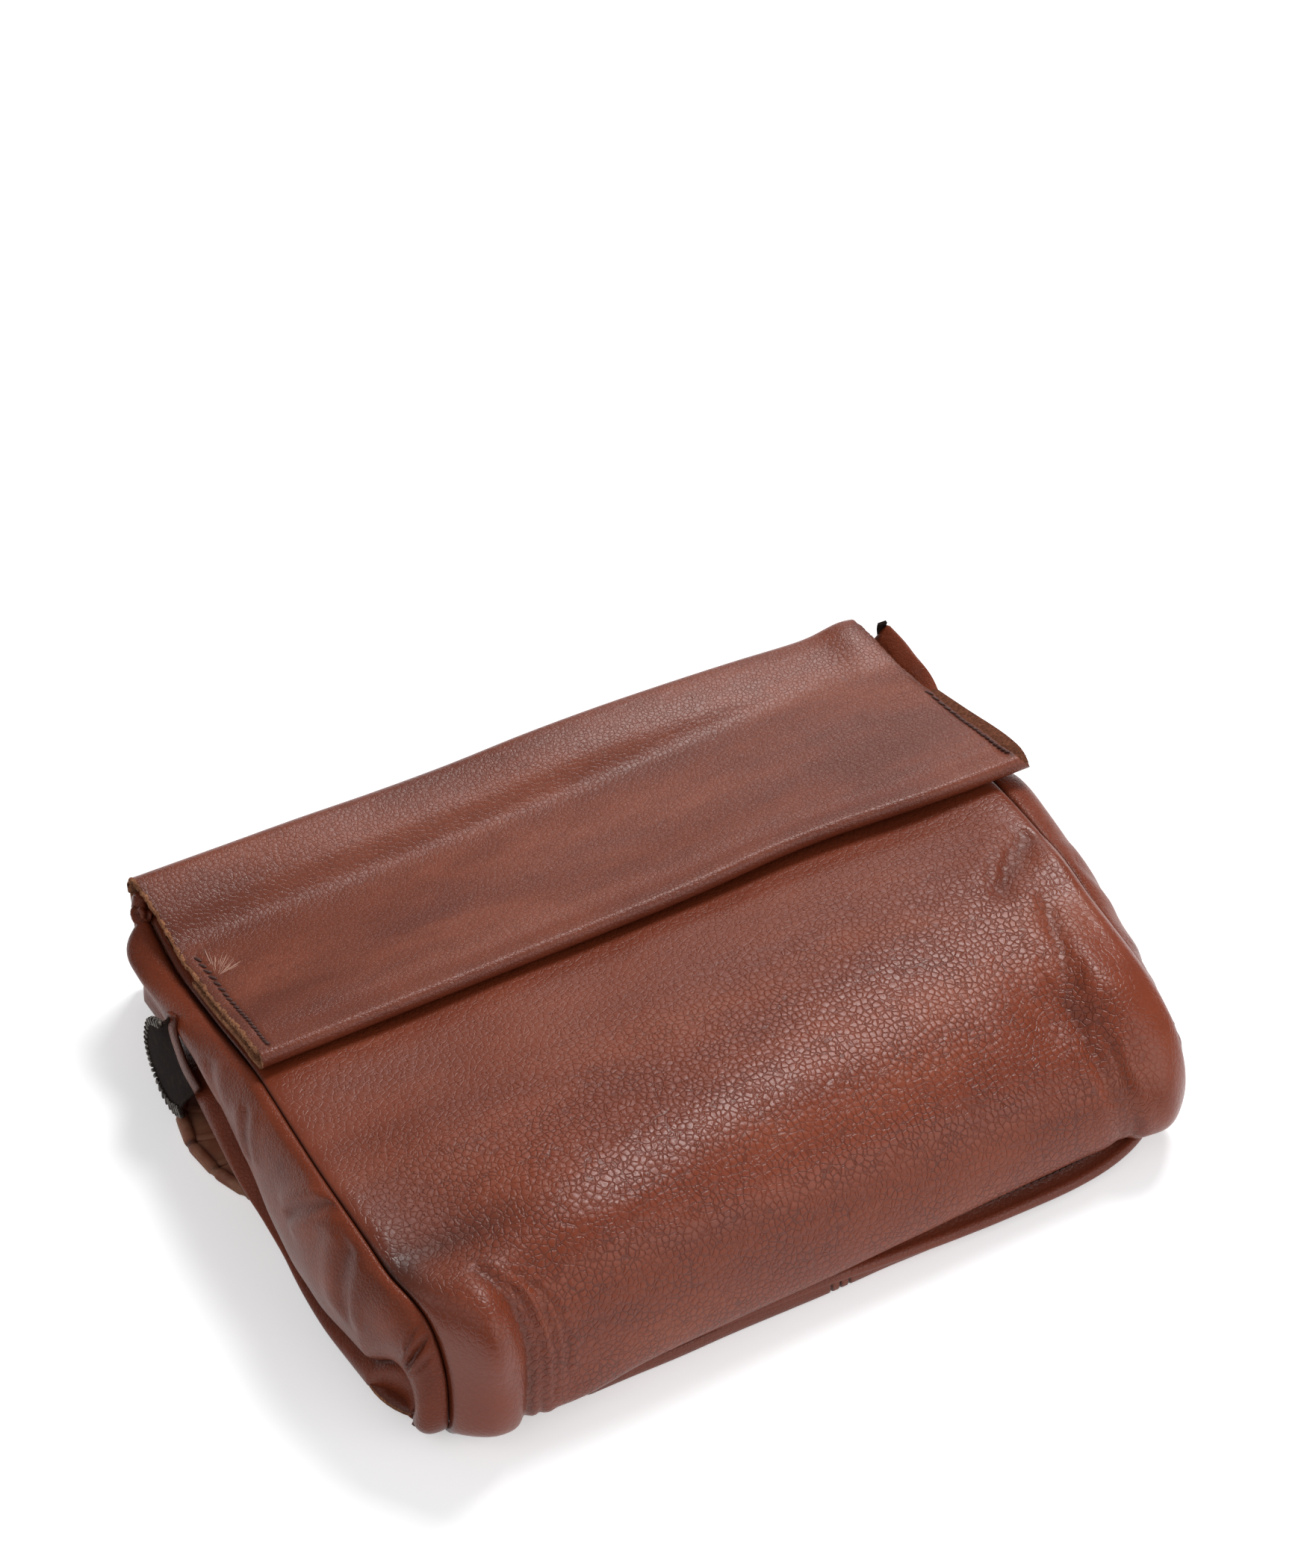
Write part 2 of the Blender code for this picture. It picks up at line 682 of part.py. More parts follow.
def strap_frame(share):
    """A point of the strap's middle line, with its directions ahead and aside."""
    before = curve_at(strap_route, max(share - STRAP_SLOPE_STEP, 0))
    ahead = curve_at(strap_route, min(share + STRAP_SLOPE_STEP, 1)) - before
    ahead.normalize()
    return curve_at(strap_route, share), ahead, Vector((-ahead.y, ahead.x))


def strap_at(u, v):
    middle, _, aside = strap_frame(v)
    x, y = middle + aside * STRAP_WIDTH * (0.5 - u)
    return Vector((x, y, STRAP_THICKNESS))


sheet("strap", 2, STRAP_ROWS, strap_at, STRAP_THICKNESS, BRAIDED)

tab_half = STRAP_WIDTH / 2 + TAB_EXTRA_WIDTH
for name, share, outwards in (("strap_tab_left", 1, 1), ("strap_tab_right", 0, -1)):
    middle, ahead, aside = strap_frame(share)
    near = middle + ahead * outwards * SEAT
    far = near + ahead * outwards * TAB_LENGTH
    edge = aside * tab_half
    corners = [tuple(corner) for corner in (near - edge, far - edge, far + edge, near + edge)]
    tab = flat_outline(name, corners, STRAP_THICKNESS, SMOOTH)
    tab.location.z = STRAP_THICKNESS / 2
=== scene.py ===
import math
import random

import bmesh
import bpy
from mathutils import Matrix, Vector, noise


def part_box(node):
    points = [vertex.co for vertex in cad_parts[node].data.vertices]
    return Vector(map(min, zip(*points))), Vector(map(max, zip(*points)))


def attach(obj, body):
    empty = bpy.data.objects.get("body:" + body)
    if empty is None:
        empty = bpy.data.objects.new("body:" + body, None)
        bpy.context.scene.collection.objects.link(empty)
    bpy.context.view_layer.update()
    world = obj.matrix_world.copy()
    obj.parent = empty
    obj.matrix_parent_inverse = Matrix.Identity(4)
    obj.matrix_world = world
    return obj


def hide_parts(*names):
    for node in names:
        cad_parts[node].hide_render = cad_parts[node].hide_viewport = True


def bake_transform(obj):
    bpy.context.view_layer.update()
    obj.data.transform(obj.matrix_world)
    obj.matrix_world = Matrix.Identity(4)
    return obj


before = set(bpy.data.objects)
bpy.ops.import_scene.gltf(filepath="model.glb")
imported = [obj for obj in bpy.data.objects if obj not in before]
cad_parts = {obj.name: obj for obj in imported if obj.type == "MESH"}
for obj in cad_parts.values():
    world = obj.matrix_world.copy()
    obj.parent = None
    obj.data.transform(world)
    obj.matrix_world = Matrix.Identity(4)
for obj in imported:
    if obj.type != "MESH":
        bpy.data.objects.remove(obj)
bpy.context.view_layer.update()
scene = bpy.context.scene
mm = 0.001
print("frame loaded:", len(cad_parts), "nodes")


# small helpers, all sizes in millimetres until a point is placed

def clamp(value, low=0.0, high=1.0):
    return min(max(value, low), high)


def ease(low, high, value):
    t = clamp((value - low) / (high - low))
    return t * t * (3 - 2 * t)


def bell(distance, width):
    return math.exp(-((distance / width) ** 2))


def curveAt(points, share):  # smooth curve through points or plain numbers
    place = clamp(share) * (len(points) - 1)
    first = min(int(place), len(points) - 2)
    t = place - first
    b, c = points[first], points[first + 1]
    a = points[first - 1] if first > 0 else 2 * b - c
    d = points[first + 2] if first + 2 < len(points) else 2 * c - b
    square = 2 * a - 5 * b + 4 * c - d
    cube = 3 * b - a - 3 * c + d
    return (2 * b + (c - a) * t + square * t**2 + cube * t**3) / 2


def mix(a, b, share):
    return a + (b - a) * share


def nearLine(path, x, y):  # signed distance to a drawn line, and how far along it
    best, where = 1e9, 0.0
    for index, ((x0, y0), (x1, y1)) in enumerate(zip(path, path[1:])):
        dx, dy = x1 - x0, y1 - y0
        t = clamp(((x - x0) * dx + (y - y0) * dy) / (dx * dx + dy * dy))
        ox, oy = x - x0 - t * dx, y - y0 - t * dy
        far = math.hypot(ox, oy)
        if far < abs(best):
            best = far if dx * oy - dy * ox >= 0 else -far
            where = (index + t) / (len(path) - 1)
    return best, where


def wander(x, y, z, size, seed=0.0):  # smooth noise, about -1 to 1
    return noise.noise(Vector((x / size + seed, y / size - seed, z / size + 2 * seed)))


def spots(places, u, share):  # soft round spots added up: across, share, half sizes in both, height
    return sum(
        height * bell(u - across, wide) * bell(share - at, long)
        for across, at, wide, long, height in places
    )


def crowded(u, strength):  # more columns towards both sides
    return mix(u, 0.5 - 0.5 * math.cos(math.pi * u), strength)


def rounded(share):  # rises from 0 to 1 as a quarter circle
    return math.sqrt(clamp(1 - (1 - clamp(share)) ** 2))


def ring(u):
    angle = 2 * math.pi * u
    return math.cos(angle), math.sin(angle)


def heading(line, share, step=0.01):
    return curveAt(line, share + step) - curveAt(line, share - step)


def flatLines(creases, wide, long):  # crease points in millimetres on the flat leather
    return [([(u * wide, share * long) for u, share in line[:-3]], *line[-3:]) for line in creases]


def evenPaint(*values):
    return lambda u, v: values


def addMesh(name, bm, materials, body=None, nodes=()):
    mesh = bpy.data.meshes.new(name)
    bm.to_mesh(mesh)
    bm.free()
    for material in materials:
        mesh.materials.append(material)
    mesh.shade_smooth()
    piece = bpy.data.objects.new(name, mesh)
    scene.collection.objects.link(piece)
    if body:
        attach(piece, body)
    if nodes:
        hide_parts(*nodes)
    return piece


def bagPiece(name, bm, materials, node):
    return addMesh(name, bm, materials, "bag_body", [node])


# the burnish layer holds reddish burnish and, in some hollows and folds, painted shade
paintLayers = ("burnishAndShade", "shade", "pebble", "mark")


def gridSheet(columns, rows, place, paint):
    bm = bmesh.new()
    bmesh.ops.create_grid(bm, x_segments=columns, y_segments=rows, size=1)
    layers = [bm.verts.layers.float.new(key) for key in paintLayers]
    for vertex in bm.verts:
        u, v = (vertex.co.x + 1) / 2, (vertex.co.y + 1) / 2
        point = place(u, v)
        for layer, value in zip(layers, paint(u, v)):
            vertex[layer] = value
        vertex.co = point * mm
    return bm


def closedTube(around, along, place, paint):  # a grid rolled up, welded and capped
    bm = gridSheet(around, along, place, paint)
    bmesh.ops.remove_doubles(bm, verts=bm.verts, dist=0.00002)
    openEdges = [edge for edge in bm.edges if edge.is_boundary]
    bmesh.ops.holes_fill(bm, edges=openEdges, sides=0)
    bmesh.ops.recalc_face_normals(bm, faces=bm.faces)
    return bm


def addPart(whole, part):
    mesh = bpy.data.meshes.new("part")
    part.to_mesh(mesh)
    part.free()
    whole.from_mesh(mesh)
    bpy.data.meshes.remove(mesh)


def thicken(piece, thickness, rimMaterial=0, insideMaterial=0):
    wall = piece.modifiers.new("leather", "SOLIDIFY")
    wall.thickness = thickness * mm
    wall.offset = -1
    wall.material_offset_rim = rimMaterial
    wall.material_offset = insideMaterial
    return piece


# shader groups shared by the leathers

def newGroup(name, inputs, outputs):  # sockets are given as name and kind
    group = bpy.data.node_groups.new(name, "ShaderNodeTree")
    for direction, sockets in (("INPUT", inputs), ("OUTPUT", outputs)):
        for socketName, kind in sockets.items():
            group.interface.new_socket(socketName, in_out=direction, socket_type="NodeSocket" + kind)
    given = group.nodes.new("NodeGroupInput").outputs
    out = group.nodes.new("NodeGroupOutput").inputs
    return group, Wiring(group), given, out


class Wiring:  # a short way to add and link shader nodes
    def __init__(self, tree):
        self.tree = tree

    def add(self, kind, settings=None, **inputs):
        node = self.tree.nodes.new("ShaderNode" + kind)
        for key, value in (settings or {}).items():
            setattr(node, key, value)
        for key, value in inputs.items():
            self.put(node.inputs[key.replace("_", " ")], value)
        return node

    def put(self, socket, value):  # colours are given without their alpha
        if isinstance(value, bpy.types.NodeSocket):
            self.tree.links.new(value, socket)
        else:
            socket.default_value = (*value, 1) if socket.type == "RGBA" else value

    def math(self, operation, *values):
        node = self.add("Math", {"operation": operation})
        for socket, value in zip(node.inputs, values):
            self.put(socket, value)
        return node.outputs[0]

    def colour(self, factor, first, second):
        node = self.add("Mix", {"data_type": "RGBA"})
        for index, value in ((0, factor), (6, first), (7, second)):
            self.put(node.inputs[index], value)
        return node.outputs[2]

    def range(self, value, low, high, newLow=0.0, newHigh=1.0, kind="LINEAR"):
        node = self.add("MapRange", {"interpolation_type": kind})
        for socket, number in zip(node.inputs, (value, low, high, newLow, newHigh)):
            self.put(socket, number)
        return node.outputs[0]

    def noise(self, vector, scale, detail=3.0, roughness=0.5, output="Fac"):
        node = self.add("TexNoise", Vector=vector, Scale=scale, Detail=detail, Roughness=roughness)
        return node.outputs[output]

    def voronoi(self, vector, scale, feature="F1"):
        return self.add("TexVoronoi", {"feature": feature}, Vector=vector, Scale=scale).outputs["Distance"]

    def wave(self, vector, scale, distortion, direction):
        settings = {"bands_direction": direction}
        return self.add("TexWave", settings, Vector=vector, Scale=scale, Distortion=distortion).outputs["Fac"]

    def attribute(self, name):
        return self.add("Attribute", {"attribute_name": name}).outputs["Fac"]


def buildGrainGroup():
    group, w, given, out = newGroup(
        "leatherGrain", {"Vector": "Vector", "Cells": "Float", "Fine": "Float"},
        {"Height": "Float", "Groove": "Float", "Pores": "Float"},
    )
    coords, cells = given["Vector"], given["Cells"]
    warp = w.noise(coords, 300.0, 3.0, 0.65, "Color")
    push = w.add("VectorMath", {"operation": "MULTIPLY_ADD"})
    for socket, value in zip(push.inputs, (warp, (0.0012,) * 3, coords)):
        w.put(socket, value)
    pushed = push.outputs[0]
    pad = w.range(w.voronoi(pushed, cells, "DISTANCE_TO_EDGE"), 0.0, 0.15, kind="SMOOTHSTEP")
    dome = w.range(w.voronoi(pushed, cells, "SMOOTH_F1"), 0.05, 0.75, 1.0, 0.0, "SMOOTHSTEP")
    uneven = w.range(w.noise(coords, 90.0, 2.0), 0.36, 0.62, 0.25, 1.0)
    pores = w.voronoi(coords, w.math("MULTIPLY", cells, 1.3))
    wide = w.voronoi(pushed, w.math("MULTIPLY", cells, 0.3), "DISTANCE_TO_EDGE")
    split = w.range(w.range(wide, 0.0, 0.08), 0.0, 1.0, 0.85, 1.0)
    body = w.math("MULTIPLY_ADD", dome, 0.45, w.math("MULTIPLY", pad, 0.6))
    body = w.math("MULTIPLY", body, split)
    w.put(out["Height"], w.math("MULTIPLY_ADD", w.noise(coords, 2600.0), given["Fine"], body))
    w.put(out["Groove"], w.math("MULTIPLY", w.range(pad, 0.0, 1.0, 1.0, 0.0), uneven))
    w.put(out["Pores"], w.range(pores, 0.14, 0.26, 1.0, 0.0))
    return group


def buildToneGroup():
    group, w, given, out = newGroup(
        "leatherTone",
        {
            "Vector": "Vector", "Base": "Color", "Deep": "Color", "Worn": "Color",
            "Burnish": "Float", "Shade": "Float",
        },
        {"Color": "Color", "Mottle": "Float"},
    )
    drawn = w.add("Mapping", Vector=given["Vector"], Scale=(0.5, 1.3, 1.3))  # clouds drawn out sideways
    clouds = w.noise(drawn.outputs[0], 26.0, 4.0, 0.6)
    specks = w.noise(given["Vector"], 420.0, 3.0, 0.6)
    tone = w.colour(w.range(clouds, 0.36, 0.6, 0.75, 0.0), given["Base"], given["Deep"])
    tone = w.colour(w.range(clouds, 0.55, 0.8, 0.0, 0.5), tone, given["Worn"])
    tone = w.colour(w.range(specks, 0.52, 0.7, 0.0, 0.35), tone, given["Deep"])
    # reddish darkening: real burnish along seams and edges, and painted shade in some hollows and folds
    tone = w.colour(given["Burnish"], tone, (0.2, 0.038, 0.014))
    tone = w.colour(given["Shade"], tone, (0.035, 0.011, 0.007))
    w.put(out["Color"], tone)
    w.put(out["Mottle"], clouds)
    return group


grainGroup = buildGrainGroup()
toneGroup = buildToneGroup()


def newMaterial(name):
    material = bpy.data.materials.new(name)
    material.use_nodes = True
    shader = material.node_tree.nodes["Principled BSDF"]
    w = Wiring(material.node_tree)
    coords = w.add("TexCoord").outputs["Object"]
    return material, shader, w, coords


def dress(w, shader, height=None, strength=1.0, depth=0.0, **inputs):  # shader inputs, then a bump
    for key, value in inputs.items():
        w.put(shader.inputs[key.replace("_", " ")], value)
    if height is not None:
        bump = w.add("Bump", Height=height, Strength=strength, Distance=depth)
        w.put(shader.inputs["Normal"], bump.outputs["Normal"])


leathers = {
    "pebbledLeather": {
        "base": (0.25, 0.046, 0.0145), "deep": (0.18, 0.03, 0.0095), "worn": (0.305, 0.075, 0.029),
        "cells": 450.0, "fine": 0.1, "bump": 1.0, "smoothBump": 0.2, "depth": 0.00027,
        "rough": (0.27, 0.34), "gloss": 0.42, "groove": 0.64, "poreDepth": 0.5, "dull": 0.24,
    },
    "smoothLeather": {
        "base": (0.225, 0.053, 0.0245), "deep": (0.125, 0.026, 0.0115), "worn": (0.285, 0.088, 0.052),
        "cells": 640.0, "fine": 0.5, "bump": 0.5, "smoothBump": 0.5, "depth": 0.00021,
        "rough": (0.33, 0.43), "gloss": 0.4, "groove": 0.25, "poreDepth": 0.0, "dull": 0.0,
    },
    "gussetLeather": {
        "base": (0.215, 0.045, 0.018), "deep": (0.135, 0.026, 0.01), "worn": (0.265, 0.064, 0.029),
        "cells": 700.0, "fine": 0.4, "bump": 0.6, "smoothBump": 0.6, "depth": 0.00018,
        "rough": (0.29, 0.37), "gloss": 0.2, "groove": 0.4, "poreDepth": 0.0, "dull": 0.0,
    },
}


def leather(name):
    look = leathers[name]
    material, shader, w, coords = newMaterial(name)
    grain = w.add("Group", {"node_tree": grainGroup}, Vector=coords, Cells=look["cells"], Fine=look["fine"])
    tone = w.add(
        "Group", {"node_tree": toneGroup}, Vector=coords,
        Base=look["base"], Deep=look["deep"], Worn=look["worn"],
        Burnish=w.attribute("burnishAndShade"), Shade=w.attribute("shade"),
    )
    pebble, mark = w.attribute("pebble"), w.attribute("mark")
    # the grooves between the pebbles are darkened: painted shade
    groove = w.math("MULTIPLY", w.math("MULTIPLY", grain.outputs["Groove"], pebble), look["groove"])
    colour = w.colour(groove, tone.outputs["Color"], [x * 0.5 for x in look["deep"]])
    strength = w.math("MULTIPLY_ADD", pebble, look["bump"] - look["smoothBump"], look["smoothBump"])
    height = w.math("MULTIPLY", grain.outputs["Height"], strength)
    if look["poreDepth"]:  # hair pores where the grain lies flat
        pores = w.math("MULTIPLY", grain.outputs["Pores"], mark)
        colour = w.colour(w.math("MULTIPLY", pores, 0.7), colour, [x * 0.4 for x in look["deep"]])
        height = w.math("MULTIPLY_ADD", pores, -look["poreDepth"], height)
    rough = w.range(tone.outputs["Mottle"], 0.3, 0.75, *look["rough"])
    rough = w.math("MULTIPLY_ADD", mark, look["dull"], rough)
    dress(
        w, shader, height, 1.0, look["depth"],
        Base_Color=colour, Roughness=rough, Specular_IOR_Level=look["gloss"],
    )
    return material


def rawEdge():  # the cut side of the leather, fibrous and matt, with darker suede to the right
    material, shader, w, coords = newMaterial("rawLeatherEdge")
    fibres = w.noise(coords, 900.0, 5.0, 0.7)
    patches = w.range(w.noise(coords, 120.0, 2.0), 0.45, 0.7, 0.0, 0.5)
    across = w.range(w.add("SeparateXYZ", Vector=coords).outputs["X"], -0.1, 0.1)
    pile = w.range(fibres, 0.35, 0.65)
    tan = w.colour(pile, (0.135, 0.05, 0.024), (0.48, 0.215, 0.11))
    tan = w.colour(across, tan, w.colour(pile, (0.065, 0.02, 0.01), (0.23, 0.08, 0.042)))
    tan = w.colour(patches, tan, (0.1, 0.035, 0.018))
    dress(w, shader, fibres, 0.9, 0.0006, Base_Color=tan, Roughness=0.95, Specular_IOR_Level=0.15)
    return material


def threadMaterial():
    material, shader, w, coords = newMaterial("stitchThread")
    # the light and dark turns of the twist are painted glints and painted shade on the thread
    twist = w.wave(coords, 900.0, 1.5, "DIAGONAL")
    shade = w.colour(twist, (0.03, 0.01, 0.008), (0.15, 0.056, 0.042))
    dress(w, shader, twist, 0.6, 0.0002, Base_Color=shade, Roughness=0.6)
    return material


def tapeMaterial():  # dark woven zip tape
    material, shader, w, coords = newMaterial("zipTape")
    cloth = w.math("MULTIPLY", w.wave(coords, 620.0, 2.0, "Y"), w.wave(coords, 620.0, 2.0, "Z"))
    fuzz = w.range(w.noise(coords, 300.0, 4.0), 0.45, 0.75, 0.0, 0.5)
    shade = w.colour(cloth, (0.009, 0.005, 0.004), (0.03, 0.017, 0.012))
    shade = w.colour(fuzz, shade, (0.042, 0.023, 0.016))
    dress(w, shader, cloth, 0.7, 0.0003, Base_Color=shade, Roughness=0.9, Specular_IOR_Level=0.12)
    return material


def zipMetal():
    material, shader, w, coords = newMaterial("darkZipMetal")
    tarnish = w.noise(coords, 700.0, 4.0, 0.65)
    shade = w.colour(w.range(tarnish, 0.4, 0.7), (0.03, 0.023, 0.019), (0.15, 0.13, 0.11))
    rough = w.range(tarnish, 0.3, 0.7, 0.42, 0.24)
    dress(w, shader, tarnish, 0.15, 0.0002, Base_Color=shade, Metallic=1.0, Roughness=rough)
    return material


def braidLeather():  # rolled strands with tan, rubbed tops
    material, shader, w, coords = newMaterial("braidLeather")
    tone = w.add(
        "Group", {"node_tree": toneGroup}, Vector=coords, Shade=w.attribute("shade"),
        Base=(0.3, 0.098, 0.048), Deep=(0.195, 0.058, 0.028), Worn=(0.4, 0.165, 0.09),
    )
    rub = w.noise(coords, 240.0, 4.0, 0.6)
    worn = w.math("MULTIPLY", w.range(rub, 0.42, 0.62), w.attribute("burnishAndShade"))
    colour = w.colour(worn, tone.outputs["Color"], (0.33, 0.15, 0.08))
    dress(w, shader, rub, 0.45, 0.0005, Base_Color=colour, Roughness=w.range(rub, 0.3, 0.7, 0.5, 0.72))
    return material


pebbled = leather("pebbledLeather")
smoothSkin = leather("smoothLeather")
gussetSkin = leather("gussetLeather")
edgeSkin = rawEdge()
thread = threadMaterial()
tape = tapeMaterial()
metal = zipMetal()
braidSkin = braidLeather()
print("materials made")


# front panel: outlines (y, z) from the mouth to the edge tucked under, at both seams and the crown
front = {
    "columns": 230, "rows": 210, "thickness": 1.8, "crownFlatness": 3,
    "seamLeft": (143, 143, 143, 143, 143, 143, 140.5, 136.5, 135, 136, 135.5),
    "seamRight": (143, 143, 143, 143, 143.2, 143.2, 143.4, 143, 142.2, 142.8, 142),
    "left": ((109.2, 47), (83, 41), (52, 47), (14, 56), (-20, 57.5), (-55, 61.5), (-88, 61),
             (-108, 53), (-119, 36), (-122, 20), (-115, 10.5)),
    "crownLeft": ((109.2, 47), (83, 46), (52, 49), (14, 55), (-20, 59), (-55, 63.5), (-88, 64.5),
                  (-110, 54.5), (-121, 38), (-122, 21), (-110, 10.5)),
    "crownRight": ((109.2, 47), (83, 47.5), (52, 51.5), (14, 57), (-20, 61.5), (-50, 62), (-78, 57.5),
                   (-100, 48.5), (-115, 35.5), (-120, 20.5), (-110, 10.5)),
    "right": ((109.2, 47), (83, 50), (52, 56), (14, 62), (-20, 62.5), (-55, 59), (-86, 54),
              (-104, 46), (-115.3, 34), (-115.6, 22), (-109, 10.5)),
    "edgeWidth": (5, 5, 5, 5, 5, 6, 9, 13, 15, 14, 10),
    "edgeDropLeft": (0.6, 0.6, 0.6, 0.6, 0.6, 1.2, 3.2, 6.5, 8, 8, 5),
    "edgeDropRight": (2, 2, 2, 2, 3, 4.5, 5, 5.5, 6, 6, 5),
    "lean": (0.5, 0.82), "flatWidth": 286, "flatLength": 290, "waviness": 0.6,
    # the lower edge hangs down at the left
    "hemDrop": (8, 9.5, 9.2, 9, 8.5, 8, 6.2, 5, 5, 5.2, 5), "hemFrom": (0.7, 0.95),
    # swells and hollows, and the painted spots below: across, share, half sizes in both, height
    "lowBulge": ((0.155, 0.93, 0.07, 0.07, 3.2),),
    "swells": (
        (0.058, 0.69, 0.034, 0.042, 4.2), (0.048, 0.74, 0.034, 0.055, 7.0),
        (0.046, 0.85, 0.034, 0.11, 5.5), (0.955, 0.88, 0.034, 0.13, 5.0),
        (0.935, 0.62, 0.03, 0.08, 3.0), (0.06, 0.6, 0.085, 0.042, -5.0),
        (0.09, 0.545, 0.09, 0.05, -2.4), (0.865, 0.64, 0.045, 0.085, -4.2),
        (0.25, 0.66, 0.08, 0.05, 1.8), (0.55, 0.575, 0.18, 0.05, 0.8),
        (0.05, 0.47, 0.07, 0.07, -1.6), (0.3, 0.48, 0.16, 0.07, -1.2),
        (0.985, 0.44, 0.02, 0.03, 1.6),
    ),
    # creases: points (across, share), then depth, width and the raised lip beside them
    "creases": (
        ((0.07, 0.64), (0.081, 0.664), (0.09, 0.714), (0.094, 0.786), (0.086, 0.86),
         (0.082, 1.000), 2.0, 2.6, 0.6),
        ((0.094, 0.668), (0.106, 0.72), (0.11, 0.79), (0.104, 0.86), (0.1, 1.000), 1.0, 1.5, 0.5),
        ((0.104, 0.655), (0.12, 0.7), (0.126, 0.77), (0.12, 0.84), (0.114, 0.92), 0.8, 1.3, 0.4),
        ((0.122, 0.69), (0.138, 0.74), (0.141, 0.8), (0.134, 0.86), 0.6, 1.2, 0.3),
        ((0.985, 0.38), (0.972, 0.396), (0.938, 0.42), (0.908, 0.44), (0.88, 0.462), 1.5, 4.4, 0.5),
        ((0.948, 0.4), (0.925, 0.418), (0.902, 0.446), 0.5, 1.4, 0.3),
        ((0.936, 0.392), (0.912, 0.408), (0.89, 0.432), 0.4, 1.4, 0.2),
        ((0.95, 0.455), (0.93, 0.5), (0.918, 0.536), (0.888, 0.614), (0.887, 0.705),
         (0.9, 0.827), (0.902, 1.000), 1.2, 3.4, 0.35),
        ((0.902, 0.66), (0.906, 0.74), (0.914, 0.84), (0.916, 1.000), 0.8, 1.6, 0.4),
        ((0.872, 0.56), (0.884, 0.64), (0.88, 0.74), (0.89, 0.86), 0.45, 1.6, 0.2),
        ((0.905, 0.52), (0.88, 0.56), (0.862, 0.62), 0.4, 1.6, 0.2),
        ((0.925, 0.56), (0.905, 0.6), (0.896, 0.66), 0.4, 1.5, 0.2),
        ((0.004, 0.585), (0.05, 0.59), (0.11, 0.596), (0.17, 0.6), 0.5, 5.0, 0.2),
    ),
    "smoothCorners": (
        (0.045, 0.88, 0.045, 0.24, 0.95), (0.962, 0.88, 0.045, 0.28, 0.95), (0.985, 0.58, 0.03, 0.12, 0.95),
    ),
    # reddish painted shade along the valley above the left corner bulge
    "valleyShade": ((0.1, 0.6, 0.12, 0.03, 0.2),),
    "shaded": (
        (0.07, 0.595, 0.1, 0.02, 0.22), (0.012, 0.62, 0.02, 0.05, 0.45), (0.03, 0.57, 0.13, 0.1, 0.3),
    ),
    "pored": ((0.03, 0.58, 0.1, 0.09, 0.7),),
    # the grain is flat in the upper stretch, and its limit slopes across the panel
    "grainFrom": (0.36, 0.52), "poresTo": (0.36, 0.56), "grainSlope": 0.12, "grainMiddle": 0.4,
    "flatGrain": 0.25,
}
outlineNames = ("left", "crownLeft", "crownRight", "right")
outlines = {name: [Vector(point) for point in front[name]] for name in outlineNames}
creaseLines = flatLines(front["creases"], front["flatWidth"], front["flatLength"])


def seamX(across, share):
    return curveAt(front["seamLeft" if across < 0 else "seamRight"], share)


def creased(lines, x, y):  # height and the painted shade that the creases add
    total, dark = 0.0, 0.0
    for path, depth, width, lip in lines:
        away, along = nearLine(path, x, y)
        if abs(away) > 5 * width:
            continue
        fade = ease(0, 0.15, along) * (1.0 if path[-1][1] > 285 else ease(0, 0.2, 1 - along))
        ribs = 0.1 * wander(along * len(path) * 9, away * 0.3, 0, 1, 3.7) * bell(away, 2 * width)
        total += fade * (lip * bell(abs(away) - 2.2 * width, 1.4 * width) - depth * bell(away, width) + ribs)
        dark += fade * depth * bell(away, 0.8 * width) * 0.15
    return total, dark


def creaseDepth(u, share):
    return creased(creaseLines, u * front["flatWidth"], share * front["flatLength"])


def frontLift(u, share):  # how far the leather stands off its plain outline
    return spots(front["swells"], u, share) + creaseDepth(u, share)[0]


def frontAt(u, share):
    across = 2 * u - 1
    seam = curveAt(outlines["left" if across < 0 else "right"], share)
    crownLeft, crownRight = (curveAt(outlines[side], share) for side in ("crownLeft", "crownRight"))
    crown = crownLeft.lerp(crownRight, ease(0.12, 0.88, u))
    y, z = crown + (seam - crown) * abs(across) ** front["crownFlatness"]
    half = seamX(across, share)
    x = across * half
    lean = math.pi / 2 * ease(*front["lean"], share)
    inset = clamp(1 - (1 - abs(across)) * half / curveAt(front["edgeWidth"], share))
    ends = ease(0, 0.06, share) * ease(0, 0.05, 1 - share)
    lift = frontLift(u, share) * ends + front["waviness"] * wander(x, y, z, 34, 3.1) * ends
    drop = curveAt(front["edgeDropLeft" if across < 0 else "edgeDropRight"], share)
    lift -= drop * (1 - math.sqrt(1 - inset**2))
    z -= curveAt(front["hemDrop"], u) * ease(*front["hemFrom"], share)
    y -= spots(front["lowBulge"], u, share)
    return Vector((x, y - lift * math.sin(lean), z + lift * math.cos(lean)))


